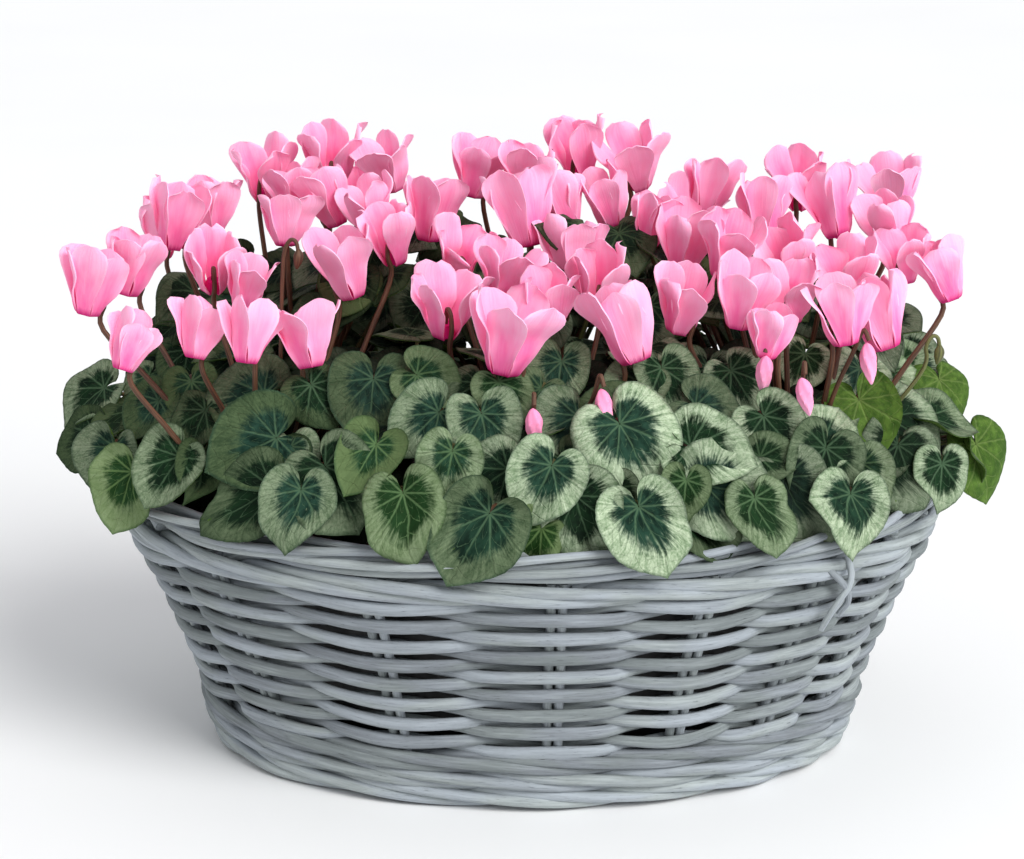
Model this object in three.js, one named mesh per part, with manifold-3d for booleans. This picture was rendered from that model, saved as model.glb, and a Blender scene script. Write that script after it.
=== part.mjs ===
// Potted cyclamen: six miniature cyclamen planted side by side in one oval willow basket.
// Millimetres, +Z up. The origin is the middle of the flat underside of the basket's base,
// +X is the long way of the oval and -Y is the side that the photograph shows.
import * as THREE from "three";
import { mergeVertices } from "three/addons/utils/BufferGeometryUtils.js";
import Module from "manifold-3d";

// Basket
const RIM_HEIGHT = 125;
const DEPTH_RATIO = 0.67;
const WALL_TOP = 113;
const WALL_THICKNESS = 9;
const BASE_THICKNESS = 8;
const BASE_SIDES = 40;
const ROW_COUNT = 8;
const ROW_PITCH = 9.6;
const FIRST_ROW_HEIGHT = 31.2;
const WEAVER_RELIEF = 2.6;
const CROSSING_RELIEF = 0.45;
const SLOT_DEPTH = 3.2;
const STAKE_SLOT = 0.2;
const FOOT_BAND = [[4.5, 1.5], [9, -0.8], [13.5, 1.8], [18, -0.8], [22.5, 1.8]];
const FOOT_TUCK = -3;
const TOP_BAND_HEIGHT = 108;
const TOP_BAND_RELIEF = 2.2;
const BAND_WAVE = 0.9;
const WALL_TUCK = -1.5;
const BORDER_RADIUS = 6;
const BORDER_END_RISE = 4;
const BORDER_SWELL = 0.8;
const BORDER_SIDES = 6;
const BORDER_INSET = -4;
const CLEARANCE = 0.3;
const BASE_INSET = 2.5;
const LINER_INSET = 5;
const MERGE_DISTANCE = 0.12;

// Half length of the oval at each height, as the basket flares from foot to rim
const FLARE = [
  [0, 141], [14, 145.5], [30, 149.5], [45, 155], [70, 164.5], [88, 173], [100, 179], [125, 182],
];

// Upright stakes: places round the front half in degrees from +X, repeated round the back half
const FRONT_STAKES = [199.6, 221, 247.7, 273.6, 294.7, 313.7, 331.1, 347.4];

// Liner and compost
const LINER_TOP = 116;
const LINER_THICKNESS = 1.2;
const LINER_SIDES = 24;
const COMPOST_TOP = 110;

// Plants
const CROWN_PROFILE = [[9, -8], [14, 0], [9, 8]];
const CROWNS = [[-112, -42], [0, -50], [112, -42], [-112, 42], [0, 50], [112, 42]];
const LEAF_THICKNESS = 0.8;
const PETIOLE_RADIUS = 1.2;
const STALK_RADIUS = 1.25;
const MOUND = { length: 200, depth: 118, height: 60, base: 130 };

// The photograph's own view: a camera in front of the basket, in the 1024 x 859 frame
const VIEW = { elevation: 20.4, distance: 1300, focal: 2848, centreX: 531.5, centreY: 602, height: 60 };

// Leaves that face the front, outermost first: pixel across, pixel down, width in mm, tip in degrees
const FRONT_LEAVES = [
  [252, 450, 38, 205], [366, 462, 28, 243], [424, 427, 30, 225], [543, 486, 31, 245], [636, 450, 42, 300],
  [829, 430, 26, 60], [850, 516, 32, 268], [984, 463, 32, 300], [148, 415, 25, 235], [126, 494, 32, 250],
  [410, 516, 32, 285], [648, 530, 34, 290], [714, 452, 32, 345], [433, 383, 26, 330], [320, 400, 25, 300],
  [778, 430, 28, 310], [868, 418, 30, 290], [88, 400, 29, 215], [240, 400, 36, 190], [336, 488, 36, 300],
  [251, 503, 34, 220], [486, 434, 30, 280], [478, 536, 36, 240], [532, 541, 22, 230], [582, 520, 33, 285],
  [736, 490, 38, 350], [824, 468, 32, 250], [910, 424, 34, 330], [942, 480, 25, 272], [946, 396, 28, 280],
  [74, 442, 28, 190], [104, 468, 30, 250], [184, 366, 28, 265], [372, 398, 36, 265], [568, 430, 32, 250],
  [742, 385, 26, 300], [858, 382, 27, 250], [924, 374, 28, 270], [718, 412, 30, 330], [668, 384, 27, 280],
  [168, 475, 30, 235], [300, 512, 30, 265], [492, 480, 30, 215], [798, 500, 34, 290], [900, 464, 34, 250],
];

// Listed leaves turn partly towards the light and the viewer; the share of the mound's own direction
const FACING = { mound: 0.5, viewer: 0.75, lean: 0.18 };

// Rings of leaves for the rest of the mound: height angle in degrees, number, mean width in mm
const LEAF_RINGS = [[3, 22, 33], [24, 18, 33], [46, 12, 31], [70, 5, 29]];
const LISTED_SECTOR = { from: 192, to: 348, below: 40 };
// They lie like roof tiles, with the downhill edge raised
const TILE_ANGLE = 17;
const RING_LEAN = 0.12;
// A leaf that would cross another lies deeper
const LAYER_STEP = 5;
const LAYER_REACH = 0.8;

// Flower heads that the photograph shows: pixel across, pixel down, size
const SHOWN_HEADS = [
  [262, 168, 1.05], [330, 155, 1.0], [385, 160, 0.95], [478, 165, 0.95], [525, 165, 0.9], [577, 148, 1.05],
  [634, 156, 1.05], [712, 182, 0.95], [800, 178, 0.95], [834, 200, 1.1], [176, 214, 1.05], [92, 278, 1.1],
  [132, 262, 1.0], [325, 195, 0.95], [432, 205, 1.05], [520, 205, 1.25], [605, 195, 0.95], [690, 236, 1.1],
  [733, 244, 1.05], [890, 220, 0.95], [212, 262, 1.0], [285, 215, 0.9], [342, 262, 1.1], [390, 232, 1.0],
  [508, 270, 0.95], [572, 245, 1.0], [600, 280, 1.0], [790, 255, 1.05], [848, 270, 1.0], [905, 252, 0.9],
  [944, 270, 0.9], [130, 342, 0.85], [200, 328, 0.9], [250, 330, 0.95], [304, 330, 1.1], [448, 302, 1.1],
  [512, 330, 1.3], [550, 300, 0.9], [625, 322, 1.2], [687, 300, 1.0], [745, 292, 1.05], [772, 330, 0.8],
  [842, 308, 1.05], [878, 312, 1.1], [212, 203, 0.95], [288, 186, 0.85], [365, 205, 0.95], [462, 252, 0.9],
  [560, 198, 0.95], [655, 215, 0.9], [765, 205, 0.95], [790, 292, 0.95], [248, 282, 0.85],
];
const HEAD_SCALE = 0.87;
// Depth of a head from its place in the photograph: the higher it shows, the further back it stands
const HEAD_DEPTH = {
  topPixel: 140, topDepth: 74, bottomPixel: 345, bottomDepth: -72, apart: 25, rounds: 45,
};

// Heads at the back that the others hide
const HIDDEN_HEADS = { number: 5, depth: 104, height: 226, from: -168, to: 160, size: 1.0 };

// Closed buds that hang just over the leaves: pixel across, pixel down, depth
const BUDS = [[535, 424, -96], [605, 405, -88], [766, 370, -66], [806, 392, -80], [870, 358, -62]];

// A flower head, nose down, for size 1
const PETAL_SPACING = 62;
const PETAL = {
  rootRadius: 4.2, rootHeight: 3.4, midRadius: 8.6, midHeight: 15, midHalf: 6.1,
  tipRadius: 10.4, tipHeight: 31, tipHalf: 5, thickness: 0.8, widest: 0.51,
};

// How far a head's petals stand out, as a share of the tip radius
const FLARE_OUT = { least: 0.95, more: 0.6, uneven: 0.18 };

// The last of a stalk, in its head's own frame: away from the petals' front, and up
const STALK_HOOK = [[-8.5, -7], [-7, 5], [-4.2, 11.5], [0, 12], [0, 3.8]];

const wasm = await Module();
wasm.setup();

// Seeded random numbers from 0 to 1
let randomState = 1968;
function draw() {
  randomState = (randomState * 16807) % 2147483647;
  return randomState / 2147483647;
}

function jitter(amount) {
  return (draw() * 2 - 1) * amount;
}

function toSolid(geometry) {
  const bare = geometry.clone();
  bare.deleteAttribute("normal");
  bare.deleteAttribute("uv");
  const merged = mergeVertices(bare, 1e-4);
  return new wasm.Manifold(new wasm.Mesh({
    numProp: 3,
    vertProperties: new Float32Array(merged.attributes.position.array),
    triVerts: new Uint32Array(merged.index.array),
  }));
}

function toGeometry(solid) {
  const mesh = solid.simplify(MERGE_DISTANCE).getMesh();
  const geometry = new THREE.BufferGeometry();
  const positions = new Float32Array(mesh.vertProperties);
  geometry.setAttribute("position", new THREE.BufferAttribute(positions, 3));
  geometry.setIndex(new THREE.BufferAttribute(new Uint32Array(mesh.triVerts), 1));
  return geometry;
}

function faceted(points, faces) {
  const geometry = new THREE.BufferGeometry();
  const numbers = points.flatMap((p) => p.toArray());
  geometry.setAttribute("position", new THREE.Float32BufferAttribute(numbers, 3));
  geometry.setIndex(faces);
  return geometry;
}

// The largest single body of a solid: what a cut leaves loose is dropped
function largestBody(solid) {
  const bodies = solid.decompose();
  bodies.sort((a, b) => b.volume() - a.volume());
  return bodies[0];
}

function interpolate(table, at) {
  for (let i = 1; i < table.length; i += 1) {
    const [x0, y0] = table[i - 1];
    const [x1, y1] = table[i];
    if (at <= x1) {
      return y0 + (y1 - y0) * Math.max(0, (at - x0) / (x1 - x0));
    }
  }
  return table[table.length - 1][1];
}

// A point of the oval at a height, moved outwards by an offset
function ovalPoint(angle, height, offset) {
  const halfLength = interpolate(FLARE, height);
  return new THREE.Vector3(
    (halfLength + offset) * Math.cos(angle),
    (halfLength * DEPTH_RATIO + offset) * Math.sin(angle),
    height,
  );
}

// A closed skin through rings of points; the last ring joins the first
function ringSkin(rings) {
  const count = rings[0].length;
  const faces = [];
  for (let r = 0; r < rings.length; r += 1) {
    const next = ((r + 1) % rings.length) * count;
    for (let i = 0; i < count; i += 1) {
      const a = r * count + i;
      const b = r * count + ((i + 1) % count);
      const c = next + ((i + 1) % count);
      const d = next + i;
      faces.push(a, b, c, a, c, d);
    }
  }
  return faceted(rings.flat(), faces);
}

// A closed solid through rings of points, with a flat cap at each end
function cappedSkin(rings) {
  const count = rings[0].length;
  const points = rings.flat();
  const faces = [];
  for (let r = 0; r + 1 < rings.length; r += 1) {
    for (let i = 0; i < count; i += 1) {
      const a = r * count + i;
      const b = r * count + ((i + 1) % count);
      faces.push(a, b, b + count, a, b + count, a + count);
    }
  }
  const last = (rings.length - 1) * count;
  for (let i = 1; i + 1 < count; i += 1) {
    faces.push(0, i + 1, i, last, last + i, last + i + 1);
  }
  return faceted(points, faces);
}

function evenAngles(count) {
  return Array.from({ length: count }, (_, i) => (i / count) * Math.PI * 2);
}

// Basket side: eight twined rows over sixteen pairs of stakes, between two heavier bands
const stakeDegrees = [...FRONT_STAKES.map((a) => a - 180), ...FRONT_STAKES];
const stakes = stakeDegrees.map((a) => THREE.MathUtils.degToRad(a));
const BAY_STEPS = [0, 0.3, 0.7];

function basketColumns() {
  const columns = [];
  stakes.forEach((start, i) => {
    const end = i + 1 < stakes.length ? stakes[i + 1] : stakes[0] + Math.PI * 2;
    BAY_STEPS.forEach((step) => {
      columns.push({ angle: start + (end - start) * step, step, bay: i });
    });
  });
  return columns;
}

function basketSide() {
  const columns = basketColumns();
  const rings = [];
  const addRing = (height, offsetAt) => {
    rings.push(columns.map((column) => ovalPoint(column.angle, height, offsetAt(column))));
  };
  const slot = (c) => -SLOT_DEPTH * (c.step === 0 ? STAKE_SLOT : 1);
  const weaver = (c) => WEAVER_RELIEF * (c.step === 0 ? 1 : CROSSING_RELIEF);
  const wave = (c, lag) => BAND_WAVE * Math.sin((c.step + lag) * Math.PI * 2);
  addRing(0, () => FOOT_TUCK);
  FOOT_BAND.forEach(([height, offset], i) => addRing(height, (c) => offset + wave(c, i / 4)));
  for (let row = 0; row < ROW_COUNT; row += 1) {
    const height = FIRST_ROW_HEIGHT + row * ROW_PITCH;
    addRing(height - ROW_PITCH / 2, slot);
    addRing(height, weaver);
  }
  addRing(FIRST_ROW_HEIGHT + (ROW_COUNT - 0.5) * ROW_PITCH, slot);
  addRing(TOP_BAND_HEIGHT, (c) => TOP_BAND_RELIEF + wave(c, 0));
  addRing(WALL_TOP, () => WALL_TUCK);
  [WALL_TOP, 0].forEach((height) => addRing(height, () => -WALL_THICKNESS));
  return ringSkin(rings);
}

// Border: the stakes turned down and woven into one rim, which rises a little at both ends
function borderRim(extra) {
  const columns = basketColumns();
  const rings = Array.from({ length: BORDER_SIDES }, (_, s) => {
    const turn = (s / BORDER_SIDES) * Math.PI * 2 - Math.PI / 2;
    return columns.map((c) => {
      const swell = BORDER_SWELL * (c.step === 0 ? 1 : -0.5);
      const rise = BORDER_END_RISE * Math.cos(c.angle) ** 6;
      const middle = (RIM_HEIGHT + WALL_TOP) / 2 + CLEARANCE / 2;
      const half = (RIM_HEIGHT - WALL_TOP - CLEARANCE) / 2 + extra;
      const up = Math.sin(turn) * half + (Math.sin(turn) > 0 ? rise : 0);
      const out = BORDER_INSET + Math.cos(turn) * (BORDER_RADIUS + swell + extra);
      const point = ovalPoint(c.angle, middle, out);
      point.z = middle + up;
      return point;
    });
  });
  return ringSkin(rings);
}

function basketBase() {
  const angles = evenAngles(BASE_SIDES);
  const inset = -WALL_THICKNESS - BASE_INSET;
  return cappedSkin([0, BASE_THICKNESS].map((height) => angles.map((a) => {
    const point = ovalPoint(a, 0, inset);
    point.z = height;
    return point;
  })));
}

const linerFloor = BASE_THICKNESS + CLEARANCE;

function plasticLiner() {
  const angles = evenAngles(LINER_SIDES);
  const outer = -WALL_THICKNESS - LINER_INSET;
  const ring = (height, offset, floor) => angles.map((a) => {
    const point = ovalPoint(a, height, offset);
    point.z = floor ?? height;
    return point;
  });
  const outside = cappedSkin([
    ring(30, outer - 6, linerFloor), ...[30, 70, 100, LINER_TOP].map((height) => ring(height, outer)),
  ]);
  const inner = outer - LINER_THICKNESS;
  const inside = cappedSkin([
    ring(30, inner - 6, linerFloor + LINER_THICKNESS),
    ...[30, 70, 100, LINER_TOP + 1].map((height) => ring(height, inner)),
  ]);
  return toSolid(outside).subtract(toSolid(inside));
}

// The corm of a plant: a squat six-sided bun, half sunk in the compost
function crownSolid([x, y], extra) {
  const rings = CROWN_PROFILE.map(([radius, height]) => evenAngles(6).map((a) => new THREE.Vector3(
    x + (radius + extra) * Math.cos(a),
    y + (radius + extra) * Math.sin(a),
    COMPOST_TOP + height + Math.sign(height) * extra,
  )));
  return toSolid(cappedSkin(rings));
}

function compost() {
  const angles = evenAngles(LINER_SIDES);
  const offset = -WALL_THICKNESS - LINER_INSET - LINER_THICKNESS - CLEARANCE;
  const ring = (height, shrink, floor) => angles.map((a) => {
    const point = ovalPoint(a, height, offset - shrink);
    point.z = floor ?? height;
    return point;
  });
  const body = cappedSkin([
    ring(30, 6.2, linerFloor + LINER_THICKNESS + CLEARANCE),
    ...[30, 70, 100, COMPOST_TOP].map((height) => ring(height, 0.2)),
  ]);
  return CROWNS.reduce((solid, crown) => solid.subtract(crownSolid(crown, CLEARANCE)), toSolid(body));
}

// Where a line of sight through a pixel of the photograph runs
const elevation = THREE.MathUtils.degToRad(VIEW.elevation);
const viewForward = new THREE.Vector3(0, Math.cos(elevation), -Math.sin(elevation));
const viewUp = new THREE.Vector3(0, Math.sin(elevation), Math.cos(elevation));
const viewFrom = new THREE.Vector3(0, 0, VIEW.height).addScaledVector(viewForward, -VIEW.distance);

function sightLine([across, down]) {
  return new THREE.Vector3((across - VIEW.centreX) / VIEW.focal, 0, 0)
    .addScaledVector(viewUp, (VIEW.centreY - down) / VIEW.focal)
    .add(viewForward);
}

function atDepth(pixel, depth) {
  const line = sightLine(pixel);
  return viewFrom.clone().addScaledVector(line, (depth - viewFrom.y) / line.y);
}

// The nearest point of the leaf mound on a line of sight, or where the line passes closest to it
function onMound(pixel) {
  const scale = new THREE.Vector3(1 / MOUND.length, 1 / MOUND.depth, 1 / MOUND.height);
  const origin = viewFrom.clone().sub(new THREE.Vector3(0, 0, MOUND.base)).multiply(scale);
  const line = sightLine(pixel).multiply(scale);
  const a = line.dot(line);
  const b = line.dot(origin);
  const c = origin.dot(origin) - 1;
  const root = Math.sqrt(Math.max(0, b * b - a * c));
  return viewFrom.clone().addScaledVector(sightLine(pixel), (-b - root) / a);
}

function moundNormal(point) {
  return new THREE.Vector3(
    point.x / MOUND.length ** 2,
    point.y / MOUND.depth ** 2,
    (point.z - MOUND.base) / MOUND.height ** 2,
  ).normalize();
}

// Leaf blade in its own frame, for width 1: a heart whose notch lies at the origin, with its tip along +X
const LEAF_OUTLINE = [
  [0, -0.04], [-0.2, -0.22], [0, -0.5], [0.46, -0.38], [0.8, 0],
  [0.46, 0.38], [0, 0.5], [-0.2, 0.22], [0, 0.04],
];

// A leaf: a thin bent blade, with the same triangles on both faces, and its stem drawn out of the notch
function leafSolid(leaf, extra) {
  const bend = ([x, y]) => new THREE.Vector3(
    x * leaf.width,
    y * leaf.width,
    leaf.width * (leaf.fold * Math.abs(y) - leaf.droop * x * x - leaf.droop * y * y),
  );
  const middle = [...LEAF_OUTLINE, [0.3, 0]].map(bend);
  const centre = LEAF_OUTLINE.length;
  const count = middle.length;
  const normals = middle.map(() => new THREE.Vector3());
  const faces = [];
  for (let i = 0; i < centre; i += 1) {
    const next = (i + 1) % centre;
    const normal = new THREE.Vector3().subVectors(middle[i], middle[centre])
      .cross(new THREE.Vector3().subVectors(middle[next], middle[centre]));
    [centre, i, next].forEach((k) => normals[k].add(normal));
    faces.push(centre, i, next, count + centre, count + next, count + i);
    if (next > 0) {
      faces.push(i, count + i, count + next, i, count + next, next);
    }
  }
  const half = LEAF_THICKNESS / 2 + extra;
  const lift = (p, i, side) => p.clone().addScaledVector(normals[i].clone().normalize(), side * half);
  const skin = (side) => middle.map((p, i) => lift(p, i, side));
  const points = [...skin(1), ...skin(-1)];
  const radius = PETIOLE_RADIUS + extra;
  const root = stemRoot(leaf.plant).applyMatrix4(leaf.frame.clone().invert());
  const square = (at, along) => {
    const side = new THREE.Vector3(0, 1, 0).addScaledVector(along, -along.y);
    side.normalize().multiplyScalar(radius);
    const up = new THREE.Vector3().crossVectors(side, along).normalize().multiplyScalar(radius);
    return [[1, 1], [1, -1], [-1, -1], [-1, 1]].map(([a, b]) => {
      points.push(at.clone().addScaledVector(side, a).addScaledVector(up, b));
      return points.length - 1;
    });
  };
  const elbow = new THREE.Vector3(-2.5, 0, -6);
  const toRoot = root.clone().sub(elbow).normalize();
  const turning = toRoot.clone().add(new THREE.Vector3(-0.4, 0, -0.9)).normalize();
  const last = centre - 1;
  const rings = [[last, count + last, count, 0], square(elbow, turning), square(root, toRoot)];
  for (let r = 0; r < 2; r += 1) {
    for (let k = 0; k < 4; k += 1) {
      const next = (k + 1) % 4;
      const [a, b] = [rings[r][k], rings[r][next]];
      const [c, d] = [rings[r + 1][next], rings[r + 1][k]];
      faces.push(a, b, c, a, c, d);
    }
  }
  const [a, b, c, d] = rings[2];
  faces.push(a, b, c, a, c, d);
  points.forEach((point) => point.applyMatrix4(leaf.frame));
  return toSolid(faceted(points, faces));
}

// A frame with its X axis as near as it can be to a direction in the plane across the normal
function leafFrame(origin, normal, direction) {
  const x = direction.clone().addScaledVector(normal, -direction.dot(normal)).normalize();
  const y = new THREE.Vector3().crossVectors(normal, x);
  return new THREE.Matrix4().makeBasis(x, y, normal).setPosition(origin);
}

function nearestCrown(x, y) {
  let best = 0;
  CROWNS.forEach(([cx, cy], i) => {
    if (Math.hypot(x - cx, y - cy) < Math.hypot(x - CROWNS[best][0], y - CROWNS[best][1])) {
      best = i;
    }
  });
  return best;
}

function tileNormal(surface) {
  const facing = moundNormal(surface);
  const uphill = new THREE.Vector3(0, 0, 1).addScaledVector(facing, -facing.z).normalize();
  const tile = THREE.MathUtils.degToRad(TILE_ANGLE);
  return facing.multiplyScalar(Math.cos(tile)).addScaledVector(uphill, Math.sin(tile));
}

function viewerNormal(surface) {
  return moundNormal(surface).multiplyScalar(FACING.mound).addScaledVector(viewForward, -FACING.viewer);
}

// A leaf whose middle lies near a point of the mound, with its tip in a direction
function makeLeaf(surface, facing, direction, width) {
  const normal = facing.clone().normalize();
  const fold = 0.1 + jitter(0.06);
  const droop = 0.2 + jitter(0.08);
  const plant = nearestCrown(surface.x, surface.y);
  return { surface, normal, direction, width, fold, droop, plant };
}

// Leaves take the outermost layer where they cross none that is already there
function layLeaves(leaves) {
  leaves.forEach((leaf, i) => {
    const reach = (other) => (LAYER_REACH * (other.width + leaf.width)) / 2;
    const taken = leaves.slice(0, i)
      .filter((other) => other.surface.distanceTo(leaf.surface) < reach(other))
      .map((other) => other.layer);
    leaf.layer = 0;
    while (taken.includes(leaf.layer)) {
      leaf.layer += 1;
    }
    const middle = leaf.surface.clone().addScaledVector(leaf.normal, -LAYER_STEP * leaf.layer);
    leaf.frame = leafFrame(middle, leaf.normal, leaf.direction);
    leaf.stem = new THREE.Vector3(-0.3 * leaf.width, 0, 0).applyMatrix4(leaf.frame);
    leaf.frame.setPosition(leaf.stem);
  });
  return leaves;
}

function randomLean(amount) {
  return new THREE.Vector3(jitter(amount), jitter(amount), jitter(amount));
}

function listedLeaves() {
  return FRONT_LEAVES.map(([across, down, width, tip]) => {
    const turn = THREE.MathUtils.degToRad(tip);
    const direction = new THREE.Vector3(Math.cos(turn), 0, 0).addScaledVector(viewUp, Math.sin(turn));
    const surface = onMound([across, down]);
    return makeLeaf(surface, viewerNormal(surface).add(randomLean(FACING.lean)), direction, width);
  });
}

function ringLeaves() {
  const leaves = [];
  LEAF_RINGS.forEach(([height, number, width], ring) => {
    for (let i = 0; i < number; i += 1) {
      const around = ((i + (ring % 2) / 2) / number) * 360 + jitter(4);
      const up = THREE.MathUtils.degToRad(height + jitter(4));
      const size = width + jitter(5);
      const lean = randomLean(RING_LEAN);
      const swing = jitter(0.7);
      const inside = around > LISTED_SECTOR.from && around < LISTED_SECTOR.to;
      if (inside && height < LISTED_SECTOR.below) {
        continue;
      }
      const turn = THREE.MathUtils.degToRad(around);
      const middle = new THREE.Vector3(
        MOUND.length * Math.cos(turn) * Math.cos(up),
        MOUND.depth * Math.sin(turn) * Math.cos(up),
        MOUND.base + MOUND.height * Math.sin(up),
      );
      const direction = new THREE.Vector3(Math.cos(turn + swing), Math.sin(turn + swing), -0.8);
      leaves.push(makeLeaf(middle, tileNormal(middle).add(lean), direction, size));
    }
  });
  return leaves;
}

// A route that bends only at its listed points, which become the rings of the stem
class StemRoute extends THREE.Curve {
  constructor(points) {
    super();
    this.points = points;
  }

  getPointAt(part) {
    return this.points[Math.round(part * (this.points.length - 1))].clone();
  }

  getTangentAt(part) {
    const at = Math.round(part * (this.points.length - 1));
    const ahead = this.points[Math.min(at + 1, this.points.length - 1)];
    const behind = this.points[Math.max(at - 1, 0)];
    const here = this.points[at];
    const before = at > 0 ? here.clone().sub(behind).normalize() : new THREE.Vector3();
    const after = at + 1 < this.points.length ? ahead.clone().sub(here).normalize() : new THREE.Vector3();
    return before.add(after).normalize();
  }
}

// A stem with three flat sides
function stemSolid(points, radius, extra) {
  const reach = (radius + extra) * 1.2;
  const middle = new THREE.Vector2();
  const corner = (turn) => new THREE.Vector2(reach, 0).rotateAround(middle, turn);
  const corners = evenAngles(3).map(corner);
  const steps = points.length - 1;
  const options = { steps, extrudePath: new StemRoute(points), bevelEnabled: false };
  return toSolid(new THREE.ExtrudeGeometry(new THREE.Shape(corners), options));
}

// Every stem starts inside its crown
function stemRoot(plant) {
  return new THREE.Vector3(...CROWNS[plant], COMPOST_TOP);
}

// Flower heads, each with a frame at its nose: +Z up through the petals, +X away from the stalk
function makeHead(middle, size) {
  const plant = nearestCrown(middle.x, middle.y);
  const [cx, cy] = CROWNS[plant];
  const outward = Math.atan2(middle.y - cy, middle.x - cx) + jitter(0.9);
  const lean = THREE.MathUtils.degToRad(8 + draw() * 16);
  const flare = FLARE_OUT.least + draw() * FLARE_OUT.more;
  const frame = new THREE.Matrix4().makeRotationZ(outward)
    .multiply(new THREE.Matrix4().makeRotationY(-lean))
    .scale(new THREE.Vector3(size, size, size));
  const upwards = new THREE.Vector3(0, 0, 1).transformDirection(frame);
  const nose = middle.clone().addScaledVector(upwards, (-size * PETAL.tipHeight) / 2);
  frame.setPosition(nose);
  const petals = [-2, -1, 0, 1, 2].map((k) => ({
    turn: THREE.MathUtils.degToRad(k * PETAL_SPACING),
    long: 1 + jitter(0.12),
    wide: 1 + jitter(0.08),
    spread: flare + jitter(FLARE_OUT.uneven),
    twist: jitter(0.35),
  }));
  return { plant, frame, petals, size };
}

function shownHeads() {
  const { topPixel, topDepth, bottomPixel, bottomDepth, apart, rounds } = HEAD_DEPTH;
  const depths = SHOWN_HEADS.map(([, down]) => {
    const part = (down - topPixel) / (bottomPixel - topPixel);
    return topDepth + (bottomDepth - topDepth) * part + jitter(4);
  });
  // Neighbours that would cross move apart along the line of sight
  for (let round = 0; round < rounds; round += 1) {
    SHOWN_HEADS.forEach((first, i) => {
      SHOWN_HEADS.slice(0, i).forEach((second, j) => {
        const a = atDepth(first, depths[i]);
        const b = atDepth(second, depths[j]);
        const room = (apart * (first[2] + second[2])) / 2;
        const push = (room - a.distanceTo(b)) / 4;
        if (push > 0) {
          const side = depths[i] > depths[j] ? 1 : -1;
          depths[i] += side * push;
          depths[j] -= side * push;
        }
      });
    });
  }
  return SHOWN_HEADS.map((head, i) => makeHead(atDepth(head, depths[i]), head[2] * HEAD_SCALE));
}

function hiddenHeads() {
  const { number, depth, height, from, to, size } = HIDDEN_HEADS;
  return Array.from({ length: number }, (_, i) => {
    const x = from + ((to - from) * i) / (number - 1) + jitter(6);
    const y = depth * Math.sqrt(1 - (x / 230) ** 2) + jitter(12);
    const middle = new THREE.Vector3(x, y, height + jitter(12));
    return makeHead(middle, (size + jitter(0.12)) * HEAD_SCALE);
  });
}

// Six corners round the nose carry five petals; the sixth, narrow side leaves room for the stalk
function headSolid(head, extra) {
  const half = THREE.MathUtils.degToRad(PETAL_SPACING / 2);
  const corners = [-5, -3, -1, 1, 3, 5].map((k) => k * half);
  const points = [];
  const faces = [];
  const add = (radius, turn, height) => {
    points.push(new THREE.Vector3(radius * Math.cos(turn), radius * Math.sin(turn), height));
    return points.length - 1;
  };
  const quad = (a, b, c, d) => faces.push(a, b, c, a, c, d);
  const low = corners.map((turn) => add(PETAL.rootRadius, turn, 0));
  const high = corners.map((turn) => add(PETAL.rootRadius * 0.86, turn, PETAL.rootHeight));
  for (let i = 1; i < 5; i += 1) {
    faces.push(low[0], low[i + 1], low[i], high[0], high[i], high[i + 1]);
  }
  quad(low[5], low[0], high[0], high[5]);
  head.petals.forEach((petal, k) => {
    const across = new THREE.Vector3(-Math.sin(petal.turn), Math.cos(petal.turn), 0);
    const out = new THREE.Vector3(Math.cos(petal.turn), Math.sin(petal.turn), 0);
    const skin = (PETAL.thickness + 2 * extra) / head.size;
    const row = (radius, height, halfWidth, twist, slope) => {
      const side = across.clone().multiplyScalar(Math.cos(twist)).addScaledVector(out, Math.sin(twist));
      const facing = new THREE.Vector3(0, 0, -slope).add(out).normalize().multiplyScalar(skin / 2);
      const middle = out.clone().multiplyScalar(radius).add(new THREE.Vector3(0, 0, height));
      return [[-1, 1], [1, 1], [1, -1], [-1, -1]].map(([s, f]) => {
        points.push(middle.clone().addScaledVector(side, s * halfWidth).addScaledVector(facing, f));
        return points.length - 1;
      });
    };
    // A petal's share of the round is limited, so that neighbours don't cross
    const midRadius = PETAL.midRadius * (0.8 + petal.spread * 0.2);
    const midHalf = Math.min(PETAL.midHalf, PETAL.widest * midRadius) + extra;
    const mid = row(midRadius, PETAL.midHeight, midHalf, petal.twist * 0.2, 0.4);
    const tipRadius = PETAL.tipRadius * petal.spread + 0.5;
    const tipHeight = PETAL.tipHeight * petal.long * (1.15 - petal.spread * 0.15);
    const tipHalf = Math.min(PETAL.tipHalf * petal.wide, PETAL.widest * tipRadius) + extra;
    const tip = row(tipRadius, tipHeight, tipHalf, petal.twist, 0.1);
    const root = [low[k], low[k + 1], high[k + 1], high[k]];
    [[root, mid], [mid, tip]].forEach(([from, to]) => {
      for (let s = 0; s < 4; s += 1) {
        const t = (s + 1) % 4;
        quad(from[s], from[t], to[t], to[s]);
      }
    });
    quad(tip[0], tip[1], tip[2], tip[3]);
  });
  points.forEach((point) => point.applyMatrix4(head.frame));
  return toSolid(faceted(points, faces));
}

// The stalk rises between the two back petals and hooks over to hold the head from above
function stalkSolid(head, extra) {
  const local = (x, z) => new THREE.Vector3(x, 0, z).applyMatrix4(head.frame);
  const hook = STALK_HOOK.map(([x, z]) => local(x, z));
  return stemSolid([stemRoot(head.plant), ...hook], STALK_RADIUS, extra);
}

function makeBud([across, down, depth]) {
  const middle = atDepth([across, down], depth);
  return { middle, plant: nearestCrown(middle.x, middle.y) };
}

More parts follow.
